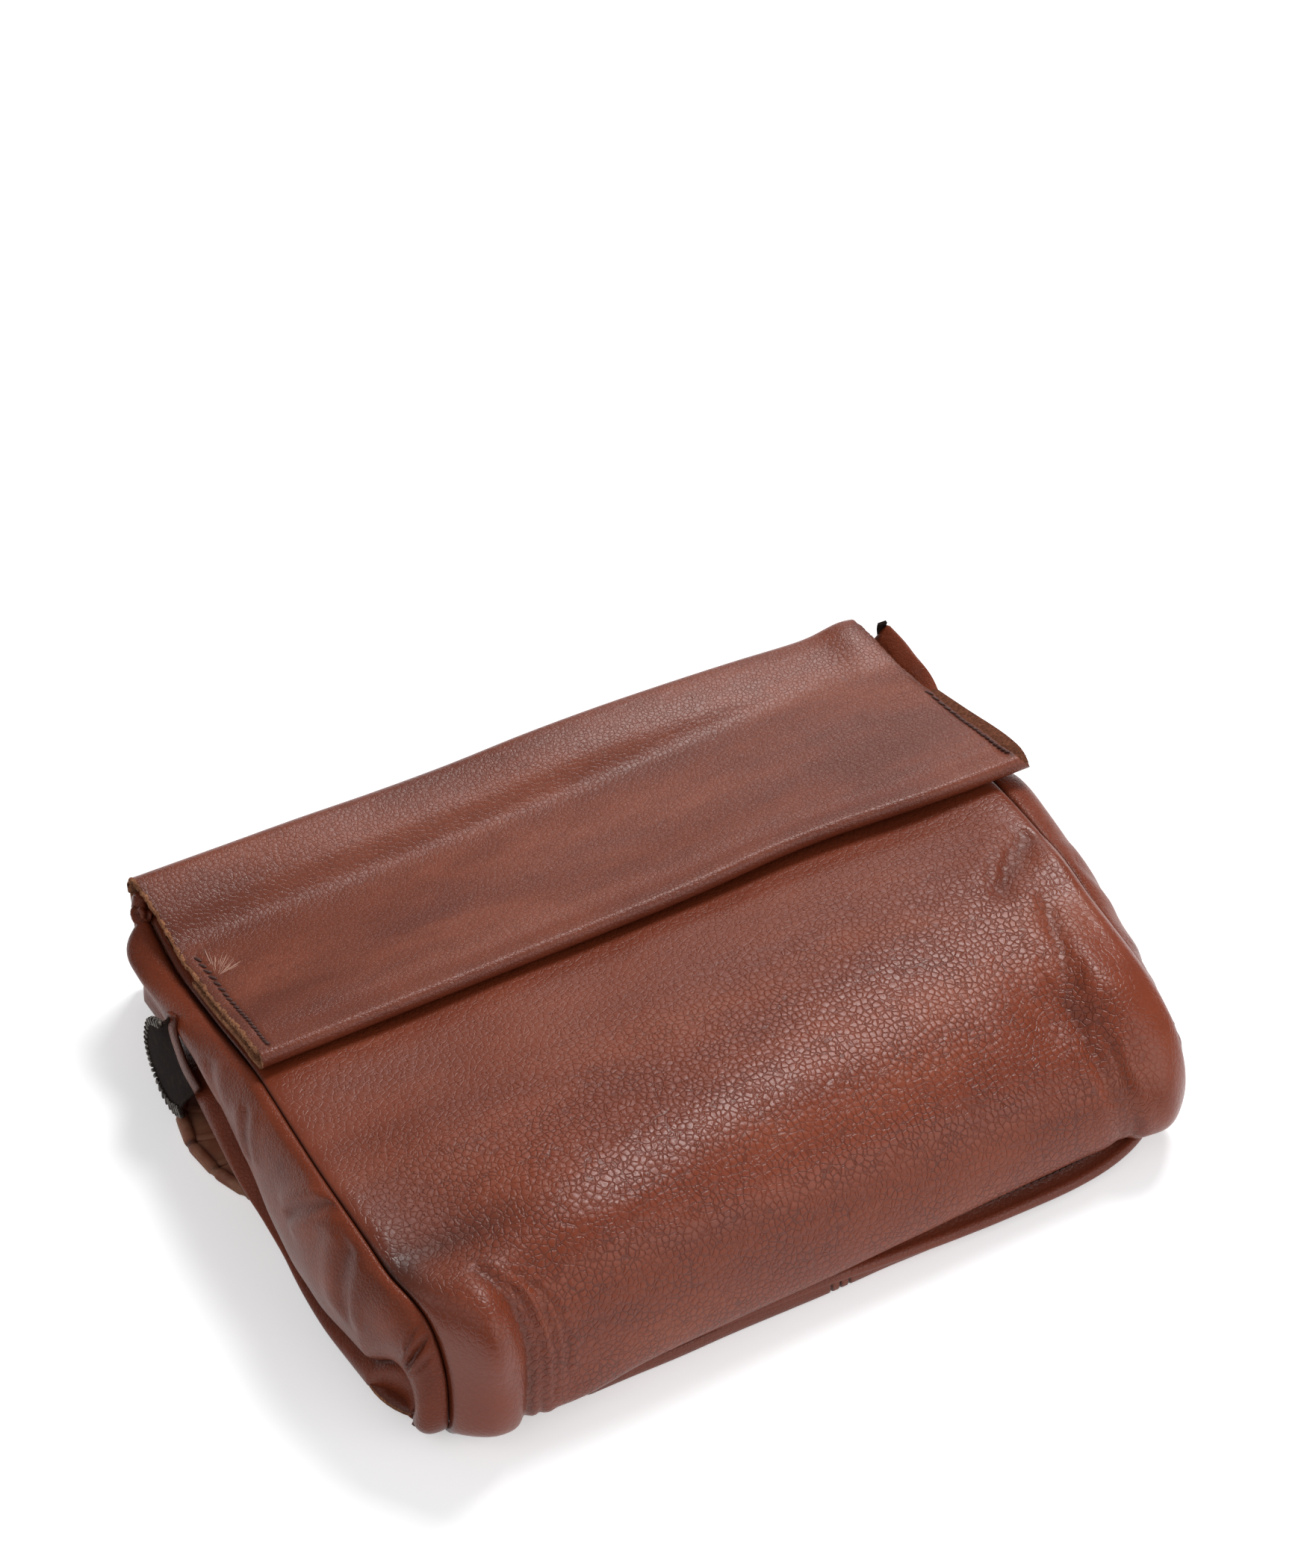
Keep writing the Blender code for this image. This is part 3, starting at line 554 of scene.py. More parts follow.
def frontPaint(u, share):
    edge = (1 - abs(2 * u - 1)) * front["flatWidth"] / 2
    burnishAndShade = 0.35 * bell(edge, 6) + spots(front["valleyShade"], u, share)
    burnishAndShade += 0.35 * bell(u - 0.045, 0.05) * ease(0.6, 0.7, share)
    burnishAndShade += 0.25 * bell(u - 0.955, 0.05) * ease(0.6, 0.8, share)
    # painted shade at the seams, in the creases, under the tucked lower edge, in the shaded hollows and in
    # the upper stretch under the flap
    shade = 0.6 * bell(edge, 0.6) + creaseDepth(u, share)[1] + 0.6 * ease(0.93, 1.0, share)
    shade += spots(front["shaded"], u, share) + 0.19 * (1 - ease(0.38, 0.58, share))
    pebble = 1.0 - 0.85 * bell(edge, 9)
    for corner in front["smoothCorners"]:
        pebble *= 1 - spots((corner,), u, share)
    sloped = share + front["grainSlope"] * (u - front["grainMiddle"])
    pebble *= mix(front["flatGrain"], 1.0, ease(*front["grainFrom"], sloped))
    pores = mix(1.0, front["flatGrain"], ease(*front["poresTo"], sloped)) * pebble**0.5
    pores = (pores + spots(front["pored"], u, share)) * (1 - bell(edge, 7))
    return clamp(burnishAndShade), clamp(shade), clamp(pebble), clamp(pores)


frontMesh = gridSheet(
    front["columns"], front["rows"],
    lambda u, v: frontAt(crowded(u, 0.5), 1 - v), lambda u, v: frontPaint(crowded(u, 0.5), 1 - v),
)
thicken(bagPiece("frontPanel", frontMesh, [pebbled], "front_panel"), front["thickness"])
print("front panel made")


# gussets: an upper roll beside the seam, a fold under it and a low band along the floor
gusset = {
    "columns": 96, "rows": 210, "thickness": 1.8, "flatWidth": 58, "flatLength": 290,
    "backHalf": 152.1, "backRadius": 29.1, "mouthY": 109.2, "seamGap": 0.12, "seamUnder": 0.3,
    "backZ": 4.3, "cornerY": -84, "cornerTurn": 44, "cornerShare": 0.6, "endShare": 0.05,
    "tuck": (-1.2, 0.8, -1.0), "tuckFrom": (0.88, 0.96),  # tucked in behind the panel at its lower end
    "left": {
        "capShare": 0.05, "backTaper": (4, 6, 6.5, 4.8, 0.8, -0.6, 2.0, 6.2, 7.0, 3.4, 1.6),
        "bandOut": (0.5, 0.3, 0.3, 0.3, 1.2, 1.6, 1.4, 1.0, 0.6, 0.8, 0.2),
        "secondOut": (0, 4, 9.5, 8.5, 1.5, 0, 0, 0, 0, 0, 0),
        "foldAt": (0.4, 0.38, 0.36, 0.66, 0.88, 0.9, 0.8, 0.64, 0.62, 0.84, 0.94),
        "rollOut": (12, 10.5, 10.5, 10, 9, 8.5, 8, 8, 7, 6, 4),
        "rollTilt": (10, 10, 12, 16, 26, 30, 30, 26, 16, 6, 0),
        "seamRise": (1.5, 1.5, 2, 2.4, 2.6, 2.6, 2.2, 1.2, 0.4, 0, 0),
        "foldDepth": (3.5, 4.0, 4.5, 4.5, 3.5, 3.0, 2.6, 2.0, 1.4, 0.6, 0.0),
        "creases": (
            ((0.000, 0.508), (0.138, 0.486), (0.3, 0.462), (0.46, 0.443), 1.5, 2.2, 1.0),
            ((0.08, 0.546), (0.244, 0.552), (0.42, 0.562), (0.6, 0.58), 1.2, 3.2, 0.8),
            ((0.000, 0.726), (0.1, 0.738), (0.25, 0.747), (0.42, 0.75), 2.0, 1.8, 1.2),
            ((0.000, 0.703), (0.12, 0.716), (0.26, 0.73), 0.8, 1.4, 0.5),
            ((0.000, 0.76), (0.12, 0.766), (0.26, 0.768), 0.7, 1.2, 0.4),
            ((0.12, 0.25), (0.26, 0.268), (0.38, 0.29), 0.7, 2.4, 0.5),
            ((0.14, 0.33), (0.32, 0.345), (0.48, 0.365), 0.7, 2.0, 0.5),
        ),
    },
    "right": {
        "capShare": 0.012, "backTaper": (0, 0, 0, 0, 0, 0.5, 3, 6, 7, 6, 4),
        "bandOut": (2.0, 2.0, 2.0, 2.0, 1.6, 1.4, 1.8, 1.8, 1.0, 0.5, 0.2),
        "foldAt": (0.32, 0.32, 0.33, 0.4, 0.6, 0.7, 0.66, 0.58, 0.52, 0.5, 0.5),
        "secondOut": (0, 0),
        "rollOut": (25, 24, 22, 13, 9, 9.5, 12.5, 12, 11.2, 10.6, 9, 7, 4, 3, 2.6, 2.4, 2.4, 2.2, 2, 1.5, 1),
        "rollTilt": (64, 62, 60, 25, 8, 12, 26, 30, 28, 26, 18, 10, 4, 0, 0, 0, 0, 0, 0, 0, 0),
        "seamRise": (0, 0),
        "foldDepth": (3.0, 3.5, 4.0, 4.0, 3.5, 3.0, 2.5, 2.0, 1.4, 0.6, 0.0),
        "creases": (
            ((0.04, 0.43), (0.14, 0.446), (0.32, 0.47), 0.6, 3.4, 0.4),
            ((0.08, 0.57), (0.24, 0.56), (0.46, 0.548), 0.8, 3.6, 0.5),
            ((0.04, 0.72), (0.16, 0.73), (0.4, 0.738), 1.0, 3.0, 0.6),
        ),
    },
}
for side in ("left", "right"):
    gusset[side]["lines"] = flatLines(gusset[side]["creases"], gusset["flatWidth"], gusset["flatLength"])


def gussetEdges(side, share):
    seam = frontAt(0.0 if side == "left" else 1.0, share)
    seam.x = abs(seam.x) + gusset["seamGap"]
    lean = math.pi / 2 * ease(*front["lean"], share)
    seam += Vector((0, math.sin(lean), -math.cos(lean))) * gusset["seamUnder"]
    seam += Vector(gusset["tuck"]) * ease(*gusset["tuckFrom"], share)
    half = gusset["backHalf"] - curveAt(gusset[side]["backTaper"], share)
    if share < gusset["cornerShare"]:
        y = mix(gusset["mouthY"], gusset["cornerY"], share / gusset["cornerShare"])
        return seam, Vector((half, y, gusset["backZ"])), Vector((1, 0, 0))
    turn = math.radians(gusset["cornerTurn"]) * (share - gusset["cornerShare"]) / (1 - gusset["cornerShare"])
    r = gusset["backRadius"]
    end = Vector((half - r + r * math.cos(turn), gusset["cornerY"] - r * math.sin(turn), gusset["backZ"]))
    return seam, end, Vector((math.cos(turn), -math.sin(turn), 0))


def gussetAt(side, across, share):
    look = gusset[side]
    seam, end, outward = gussetEdges(side, share)
    fold = curveAt(look["foldAt"], share)
    point = seam.lerp(end, across)
    spread = math.sin(math.pi * across)
    ripple = 0.45 * wander(*point, 17, 7.7)
    cap = rounded(share / look["capShare"]) * rounded((1 - share) / gusset["endShare"])  # round at both ends
    if across < fold:
        t = across / fold
        tilt = math.radians(curveAt(look["rollTilt"], share))
        swell = outward * math.cos(tilt) + Vector((0, 0, math.sin(tilt)))
        point += swell * curveAt(look["rollOut"], share) * math.sin(math.pi * t) ** 0.7 * cap
        point.z += curveAt(look["seamRise"], share) * min(t / 0.1, 1) ** 0.6 * (1 - t) ** 1.5
    else:
        t = (across - fold) / (1 - fold)
        point += outward * curveAt(look["bandOut"], share) * math.sin(math.pi * t) ** 0.7
        point += outward * curveAt(look["secondOut"], share) * math.sin(math.pi * clamp(t / 0.75)) ** 0.8
    pressed = bell((across - fold) * gusset["flatWidth"], 3.0) * min(1, spread * 3)
    out = -curveAt(look["foldDepth"], share) * pressed
    height, _ = creased(look["lines"], across * gusset["flatWidth"], share * gusset["flatLength"])
    out += (height + ripple) * min(1, spread * 4)
    return point + outward * out


def gussetPaint(side, across, share):
    look = gusset[side]
    fold = curveAt(look["foldAt"], share)
    near = across * gusset["flatWidth"]
    beyond = (across - fold) * gusset["flatWidth"]
    # real burnish beside the seam; painted shade, reddish, at the fold and over the band below it, and dark
    # in the seam, the fold, the creases and at the edge by the back panel
    burnishAndShade = 0.9 * bell(near - 1.5, 3.0) + 0.35 * bell(beyond, 2.5) + 0.35 * ease(0.5, 6, beyond)
    shade = 0.5 * bell(near, 0.5) + 0.7 * bell(beyond, 1.4) + 0.5 * ease(0.95, 1, across)
    shade += creased(look["lines"], near, share * gusset["flatLength"])[1]
    return clamp(burnishAndShade), clamp(shade), 0.8


def addGusset(name, side):  # the left one is the mirror image of what the functions give
    left = side == "left"

    def place(u, v):
        x, y, z = gussetAt(side, 1 - u if left else u, 1 - v)
        return Vector((-x if left else x, y, z))

    def paint(u, v):
        return gussetPaint(side, 1 - u if left else u, 1 - v)

    bm = gridSheet(gusset["columns"], gusset["rows"], place, paint)
    thicken(bagPiece(name, bm, [gussetSkin], "gusset_" + side), gusset["thickness"])


addGusset("gussetLeft", "left")
addGusset("gussetRight", "right")
print("gussets made")


# flap: one skin round the fold, over the bag, round its lower edge and back underneath
flap = {
    "columns": 170, "foldRows": 16, "topRows": 90, "rollRows": 22, "hemRows": 26, "thickness": 1.8,
    "leftEdge": (-144.2, -142, -141, -141, -141, -141.2), "hemLeft": -142.8, "hemRight": 157.2,
    "rightEdge": (145, 147.6, 149, 149.2, 149.6, 151),
    "left": ((113, 55.3), (98, 51.5), (83, 47.5), (52, 53), (30, 59.5), (12, 64.5)),
    "right": ((113, 55.3), (98, 57), (83, 58), (52, 63.5), (30, 68), (12, 71)),
    "foldY": 113, "foldZ": 47, "foldRadius": 8.3, "rollRadius": 3.2, "hemDepth": 56, "sag": 3.8,
    "foldFull": (2.4, 2.8, 3.3, 3.1, 3.9, 6.1, 7.0, 6.7, 5.7, 4.1, 5.0),
    "flatLeft": -141, "flatWidth": 295, "crowding": 0.75, "fibres": 4, "fibreLength": 1.5, "rim": 0.95,
    "swells": (
        (0.5, 0.91, 3.0, 0.045, -0.4), (0.3, 0.36, 0.22, 0.12, -1.2),
        (0.8, 0.45, 0.22, 0.11, 1.4), (0.45, 0.2, 0.3, 0.1, 0.8), (0.15, 0.62, 0.16, 0.12, 0.6),
        (0.55, 0.62, 0.16, 0.12, -0.6), (0.92, 0.2, 0.1, 0.12, -1.2), (0.1, 0.8, 0.1, 0.08, 0.5),
    ),
    "bowAt": 0.7, "bowWidth": 0.13, "bow": 3.2, "fray": 0.45, "cornerSwell": 2.6, "swellFade": 0.46,
    "stitchPress": 0.55, "stitchX": (-136.8, 148.3), "hemRunOut": 3.8,
}
flapEnds = {side: [Vector(point) for point in flap[side]] for side in ("left", "right")}


def foldSwell(u):  # how full the fold stands along its length
    return curveAt(flap["foldFull"], u) + flap["cornerSwell"] * bell(u - 0.95, 0.03) - 2 * ease(0.97, 1.0, u)


def flapU(x):
    return clamp((x - flap["flatLeft"]) / flap["flatWidth"])


def flapTop(x, share):  # outer face of the cover past the fold
    u = flapU(x)
    y, z = curveAt(flapEnds["left"], share).lerp(curveAt(flapEnds["right"], share), u)
    start, end = ease(0, 0.1, share), ease(0, 0.1, 1 - share)
    z += foldSwell(u) * (1 - ease(0, flap["swellFade"], share))
    z += spots(flap["swells"], u, share) * start
    z += 0.35 * wander(x, y * 1.3, 0, 40, 5.3) * start * end
    sewn = ease(0.4, 0.46, share) * ease(0, 0.05, 1 - share)
    z -= flap["stitchPress"] * sum(bell(x - row, 0.9) for row in flap["stitchX"]) * sewn
    y += flap["bow"] * bell(u - flap["bowAt"], flap["bowWidth"]) * ease(0.65, 1, share)
    sag = flap["sag"] * math.sin(math.pi * u) * ease(0.35, 1, share)
    return Vector((x, y + sag, z - sag))


def flapX(u, share, hem=0.0):
    left = mix(curveAt(flap["leftEdge"], share), flap["hemLeft"], ease(0.5, 1.0, hem))
    right = mix(curveAt(flap["rightEdge"], share), flap["hemRight"], hem)
    x = mix(left, right, u)
    rim = bell(u, 0.004) + bell(1 - u, 0.004)
    return x + rim * flap["fray"] * wander(share * 100 + 40 * hem, 3 * u, 0, 1.7, 9.1)


def shareAtY(x, y):
    low, high = 0.0, 1.0
    for _ in range(18):
        share = (low + high) / 2
        if flapTop(x, share).y > y:
            low = share
        else:
            high = share
    return low


flapSteps = [flap[key] for key in ("foldRows", "topRows", "rollRows", "hemRows")]
flapRows = sum(flapSteps)


def flapStage(v):  # which stretch of the skin a row is on, and how far along it
    row = (1 - v) * flapRows
    for stage, count in enumerate(flapSteps):
        if row <= count + 1e-6 or stage == 3:
            return stage, clamp(row / count)
        row -= count


def flapAt(u, v):
    stage, t = flapStage(v)
    u = crowded(u, flap["crowding"])
    if stage == 0:
        angle = math.pi / 2 * t
        x = flapX(u, 0)
        r = flap["foldRadius"]
        full = r + foldSwell(flapU(x))
        return Vector((x, flap["foldY"] + r * math.cos(angle), flap["foldZ"] + full * math.sin(angle)))
    if stage == 1:
        return flapTop(flapX(u, t), t)
    edge = flapTop(flapX(u, 1), 1)
    if stage == 2:
        angle = math.pi * t
        r = flap["rollRadius"]
        aside = flapX(u, 1, 0.8 * ease(0, 1, t)) - edge.x
        return edge + Vector((aside, -r * math.sin(angle), -r * (1 - math.cos(angle))))
    x = flapX(u, 1, 0.8 + 0.2 * ease(0, 0.1, t))
    x -= flap["hemRunOut"] * t**1.5 * ease(0.9, 1, u)  # the hem's right end runs out under the cover
    y = edge.y + flap["hemDepth"] * t
    apart = 2 * flap["rollRadius"]
    under = flapTop(x, shareAtY(x, y))
    near = bell(u, 0.03) + bell(1 - u, 0.03)
    gap = mix(apart, 2 * flap["thickness"] + 0.25, clamp(1 - (1 - t) ** 2 + near * ease(0, 0.2, t)))
    return Vector((x, y, under.z - gap))


def flapPaint(u, v):
    stage, t = flapStage(v)
    u = crowded(u, flap["crowding"])
    rim = bell(u, 0.008) + bell(1 - u, 0.008)
    if stage == 1:
        x = flapX(u, t)
        leftRow = bell(x - flapX(0, t) - sewing["leftInset"], 0.6)
        rightRow = bell(flapX(1, t) - x - sewing["rightInset"], 0.6)
        rows = ease(0.42, 0.45, t) * (leftRow + ease(0.5, 0.53, t) * rightRow)
        # painted shade: redder in the hollow just above the rolled edge and darker along the pressed stitch
        # rows; the cut edges darker and a little redder
        return clamp(0.45 * bell(t - 0.92, 0.04) + 0.2 * rim), clamp(0.35 * rim + 0.4 * rows), 1.0
    return 0.15, 0.0, 1.0


sewing = {"leftInset": 4.2, "rightInset": 1.2, "step": 0.026, "leftFrom": 0.43, "rightFrom": 0.5}
flapMesh = gridSheet(flap["columns"], flapRows, flapAt, flapPaint)
flapSkins = [smoothSkin, edgeSkin]
flapCover = addMesh("flapCover", flapMesh, flapSkins, None, ["flap_cover", "flap_hem"])
thicken(flapCover, flap["thickness"], 1, 1)
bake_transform(flapCover)

spine = {"columns": 120, "rows": 30, "y": 121.3, "low": 5.4, "high": 46.9, "wave": 1.5}


def spineAt(u, v):
    x = mix(flapX(1, 0), flapX(0, 0), u)
    z = mix(spine["low"], spine["high"], v)
    swell = spine["wave"] * wander(x, 0, z, 42, 1.3) * math.sin(math.pi * v)
    return Vector((x, spine["y"] + swell, z))


def spinePaint(u, v):
    # painted shade, redder and darker, at the foot of the spine by the back panel
    return 0.3 * bell(v, 0.1), 0.5 * bell(v, 0.06), 1.0


spineMesh = gridSheet(spine["columns"], spine["rows"], spineAt, spinePaint)
flapSpine = addMesh("flapSpine", spineMesh, flapSkins, None, ["flap_spine"])
thicken(flapSpine, flap["thickness"], 1, 1)
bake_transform(flapSpine)
print("flap made")


# sewing: a row of short threads laid along points on a surface
lengthwise = Matrix.Rotation(math.pi / 2, 4, "Y")


def axesAt(place, *axes):
    turned = Matrix(axes).transposed().to_4x4()
    turned.translation = place
    return Matrix.Scale(mm, 4) @ turned


def stitchRow(name, points, ups, body, width=1.15, lift=0.3, slant=0.0):
    bm = bmesh.new()
    for start, end, up in zip(points, points[1:], ups):
        along = end - start
        reach = along.length * 0.46
        along = Matrix.Rotation(slant, 3, up) @ along.normalized()
        side = along.cross(up).normalized()
        shape = Matrix.Diagonal((reach, width / 2, width / 2, 1))
        place = axesAt((start + end) / 2 + up * lift, along, side, up) @ shape @ lengthwise
        bmesh.ops.create_uvsphere(bm, u_segments=8, v_segments=6, radius=1, matrix=place)
    return addMesh(name, bm, [thread], body)


def rowOnFlap(count, first, inset, left):
    points, ups = [], []
    for index in range(count):
        share = first + sewing["step"] * index
        x = flapX(0.0, share) + inset if left else flapX(1.0, share) - inset
        points.append(flapTop(x, share))
        ahead = flapTop(x, min(share + 0.01, 1)) - flapTop(x, share - 0.01)
        ups.append(ahead.cross(Vector((1, 0, 0))).normalized())
    return points, [up if up.z > 0 else -up for up in ups]


leftRow = rowOnFlap(22, sewing["leftFrom"], sewing["leftInset"], True)
rightRow = rowOnFlap(19, sewing["rightFrom"], sewing["rightInset"], False)
stitchRow("flapStitchesLeft", *leftRow, "flap_cover", slant=0.45)
stitchRow("flapStitchesRight", *rightRow, "flap_cover", slant=0.35)


# loose fibres on the cut edges, and a fan of pale scratches
def fibreRow(name, spots, seed):
    draw = random.Random(seed)
    bm = bmesh.new()
    for spot, outward in spots:
        for _ in range(flap["fibres"]):
            aim = (outward + Vector([draw.uniform(-0.8, 0.8) for _ in range(3)])).normalized()
            length = draw.uniform(0.5, 1.0) ** 2 * flap["fibreLength"]
            turned = aim.to_track_quat("Z", "Y").to_matrix().to_4x4()
            place = Matrix.Translation((spot + aim * length * 0.4) * mm) @ turned
            bmesh.ops.create_cone(
                bm, cap_ends=True, segments=4, radius1=draw.uniform(0.1, 0.22) * mm, radius2=0.02 * mm,
                depth=length * mm, matrix=place,
            )
    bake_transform(addMesh(name, bm, [edgeSkin]))


def edgeSpots(count, u, first, last):
    found = []
    for index in range(count):
        share = mix(first, last, index / (count - 1))
        middle = flapTop(flapX(u, share), share) - Vector((0, 0, flap["thickness"] / 2))
        found.append((middle, Vector((-1 if u < 0.5 else 1, 0, 0.2))))
    return found


def foldSpot(angle, radius=7.4):
    y, z = flap["foldY"] + radius * math.cos(angle), flap["foldZ"] + radius * math.sin(angle)
    return Vector((flapX(0, 0) + 0.2, y, z)), Vector((-1, 0, 0))


def hemSpot(share):
    row = flapRows - flap["hemRows"] + share * flap["hemRows"]
    return flapAt(1, 1 - row / flapRows), Vector((1, 0, 0.2))


fibreRow("foldFibres", [foldSpot(step / 20) for step in range(32)], 3)
fibreRow("flapFibresLeft", edgeSpots(80, 0, 0.14, 1.0), 5)
fibreRow("flapFibresRight", edgeSpots(60, 1, 0.1, 0.5) + [hemSpot(step / 60) for step in range(60)], 7)


def rimAt(u, v):  # the thick frayed lip of the cut left edge, round the fold and down to the roll
    place = 1 - v * (flap["foldRows"] + flap["topRows"]) / flapRows
    stage, t = flapStage(place)
    lean = math.pi / 2 * (t if stage == 0 else 1)
    up = Vector((0, math.cos(lean), math.sin(lean)))
    c, s = ring(u)
    r = flap["rim"] * (1 + 0.35 * wander(v * 150, u * 3, 0, 1.6, 2.2)) * (1 - 0.5 * ease(0.97, 1, v))
    return flapAt(0, place) + Vector((-r * c, 0, 0)) + up * (r * s - 0.85)


flapRim = addMesh("flapRimLeft", closedTube(10, 220, rimAt, evenPaint(0.0, 0.0, 0.0)), [edgeSkin])
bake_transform(flapRim)
scratches = {
    "from": (-135.5, 0.525), "count": 36, "reach": (3.0, 9.0), "fan": (0.1, 1.35), "width": 0.34, "seed": 11,
    "coverLength": 101,
}


def scratchMaterial():
    material, shader, w, coords = newMaterial("paleScratch")
    fibre = w.noise(coords, 1500.0)
    dress(w, shader, Base_Color=w.colour(fibre, (0.33, 0.15, 0.1), (0.5, 0.3, 0.23)), Roughness=0.8)
    return material


def makeScratches():
    draw = random.Random(scratches["seed"])
    bm = bmesh.new()
    for _ in range(scratches["count"]):
        angle = draw.uniform(*scratches["fan"])
        first, last = draw.uniform(0.5, 5.0), draw.uniform(*scratches["reach"])
        ends = []
        for far in (first, first + last):
            x = scratches["from"][0] + far * math.cos(angle)
            ends.append(flapTop(x, scratches["from"][1] - far * math.sin(angle) / scratches["coverLength"]))
        along = (ends[1] - ends[0]).normalized()
        aside = along.cross(Vector((0, 0, 1))).normalized()
        place = axesAt((ends[0] + ends[1]) / 2, along, aside, along.cross(aside) * -1)
        shape = Matrix.Diagonal((last / 2, draw.uniform(0.4, 1.0) * scratches["width"] / 2, 0.09, 1))
        bmesh.ops.create_icosphere(bm, subdivisions=2, radius=1, matrix=place @ shape)
    addMesh("flapScratches", bm, [scratchMaterial()], "flap_cover")


makeScratches()
print("stitches and fibres made")


# bottom: a flat band on the floor with its centre seam, and the rolled welt under the panel
base = {
    "halfDeep": 4.3, "halfTall": 3.0, "y": -114.6, "z": 3.3, "seamX": 4.0, "leftEnd": -92, "rightEnd": 118,
    "turnIn": 8.0, "turnFrom": 44, "grooves": (0.0, 3.4), "grooveDepth": 0.7, "around": 24, "rings": 180,
}
welt = {  # centre of the rolled lip, then the flat tail behind it that is sewn to the panel
    "path": ((-106, -114.5, 5.5), (-72, -115, 5.5), (-36, -116, 6.0), (0, -117.0, 6.4), (32, -118.2, 4.9),
             (64, -119.0, 4.0), (92, -118.4, 3.8), (112, -116.0, 4.3), (127, -110.5, 5.6), (137, -102, 8.0),
             (141, -92, 11.5)),
    "lip": 2.1, "tail": 11.0, "tailRise": 5.0, "tailThick": 1.3, "around": 24, "rings": 200, "wave": 0.4,
}
weltLine = [Vector(point) for point in welt["path"]]


def baseX(share, sign):  # from the middle seam to an end, crowded near the seam
    return mix(base["seamX"], base["rightEnd"] if sign > 0 else base["leftEnd"], share**2.2)


def baseAt(u, v, sign):
    x = baseX(v, sign)
    c, s = ring(u)
    walk = abs(x - base["seamX"])
    press = sum(base["grooveDepth"] * bell(walk - at, 0.4) for at in base["grooves"])
    line = 0.3 * bell(s - 0.35, 0.1) * (c > 0)
    end = base["rightEnd"] - x if sign > 0 else x - base["leftEnd"]
    scale = rounded(end / 4)
    out = (base["halfDeep"] - press - line) * math.copysign(abs(c) ** 0.55, c) * scale
    up = (base["halfTall"] - 0.3 * press) * math.copysign(abs(s) ** 0.55, s) * scale
    turned = base["turnIn"] * ease(base["turnFrom"], base["rightEnd"], x)
    y = base["y"] + turned + 0.4 * wander(x, 0, 0, 24, 6.6)
    return Vector((x, y - out, base["z"] + up))


def basePaint(u, v, sign):
    walk = abs(baseX(v, sign) - base["seamX"])
    # painted shade in the seam grooves and on the side turned in under the panel
    dark = sum(0.9 * bell(walk - at, 0.45) for at in base["grooves"])
    return 0.25, clamp(dark + 0.3 * (ring(u)[0] < -0.3)), 0.7


for name, node, sign in (("baseRollLeft", "base_roll_left", -1), ("baseRollRight", "base_roll_right", 1)):
    bm = closedTube(
        base["around"], base["rings"], lambda u, v: baseAt(u, v, sign), lambda u, v: basePaint(u, v, sign),
    )
    bagPiece(name, bm, [smoothSkin], node)


def weltFrame(v):
    centre = curveAt(weltLine, v)
    ahead = heading(weltLine, v)
    outward = Vector((ahead.y, -ahead.x, 0)).normalized()
    return centre + Vector((0, 0, welt["wave"] * wander(centre.x, 0, 0, 22, 4.4))), outward


def weltProfile(u):  # lip first, then the top of the tail, then back below it
    lip = welt["lip"]
    first, last = math.radians(-140), math.radians(105)
    if u < 0.5:
        angle = mix(first, last, u / 0.5)
        return lip * math.cos(angle), lip * math.sin(angle)
    top = u < 0.75
    t = (u - 0.5) / 0.25 if top else (1 - u) / 0.25
    near = last if top else first
    endUp = welt["tailRise"] if top else welt["tailRise"] - welt["tailThick"]
    out = mix(lip * math.cos(near), -welt["tail"], t)
    dip = 0.5 * math.sin(math.pi * min(t * 3, 1))  # a groove where the lip is sewn down
    return out, mix(lip * math.sin(near), endUp, ease(0, 1, t)) - (dip if top else 0)


def weltAt(u, v):
    centre, outward = weltFrame(v)
    out, up = weltProfile(u)
    return centre + outward * out + Vector((0, 0, up))


def weltPaint(u, v):
    lip = u < 0.5
    # painted shade on the tail tucked behind the lip
    return (0.5 if lip else 0.2), (0.0 if lip else 0.45 * ease(0.5, 0.62, u)), 0.7


bm = closedTube(welt["around"], welt["rings"], weltAt, weltPaint)
bagPiece("bottomWelt", bm, [smoothSkin], "bottom_welt")
weltRow = [weltAt(0.6, 0.4 + 0.0112 * i) for i in range(48)]
stitchRow("weltStitches", weltRow, [Vector((0, -0.4, 0.9)).normalized()] * len(weltRow), "bag_body", 0.9)
print("bottom made")


# mouth: the rolled hem of the front panel, with its knotted end at the left
mouth = {
    "y": 113, "z": 47, "radius": 3.4, "half": 147, "along": 170, "around": 18,
    "knot": (-144.2, 108.9, 45.6), "knotRadius": 4.1, "neckX": -138.6,
}


def mouthX(v):
    return mix(-mouth["half"], mouth["half"], v)


def mouthAt(u, v):
    x = mouthX(v)
    r = mouth["radius"] * rounded((mouth["half"] - abs(x)) / 3)
    r *= 1 + 0.06 * wander(x, 0, 2 * math.pi * u, 9, 8.1)
    r += bell(x + 143, 2.6) * 0.9 - bell(x - mouth["neckX"], 1.1) * 0.8
    c, s = ring(u)
    return Vector((x, mouth["y"] + r * c, mouth["z"] + r * s))


def mouthPaint(u, v):
    # painted shade in the pinched neck before the knot
    return 0.2, 0.6 * bell(mouthX(v) - mouth["neckX"], 1.2), 0.8


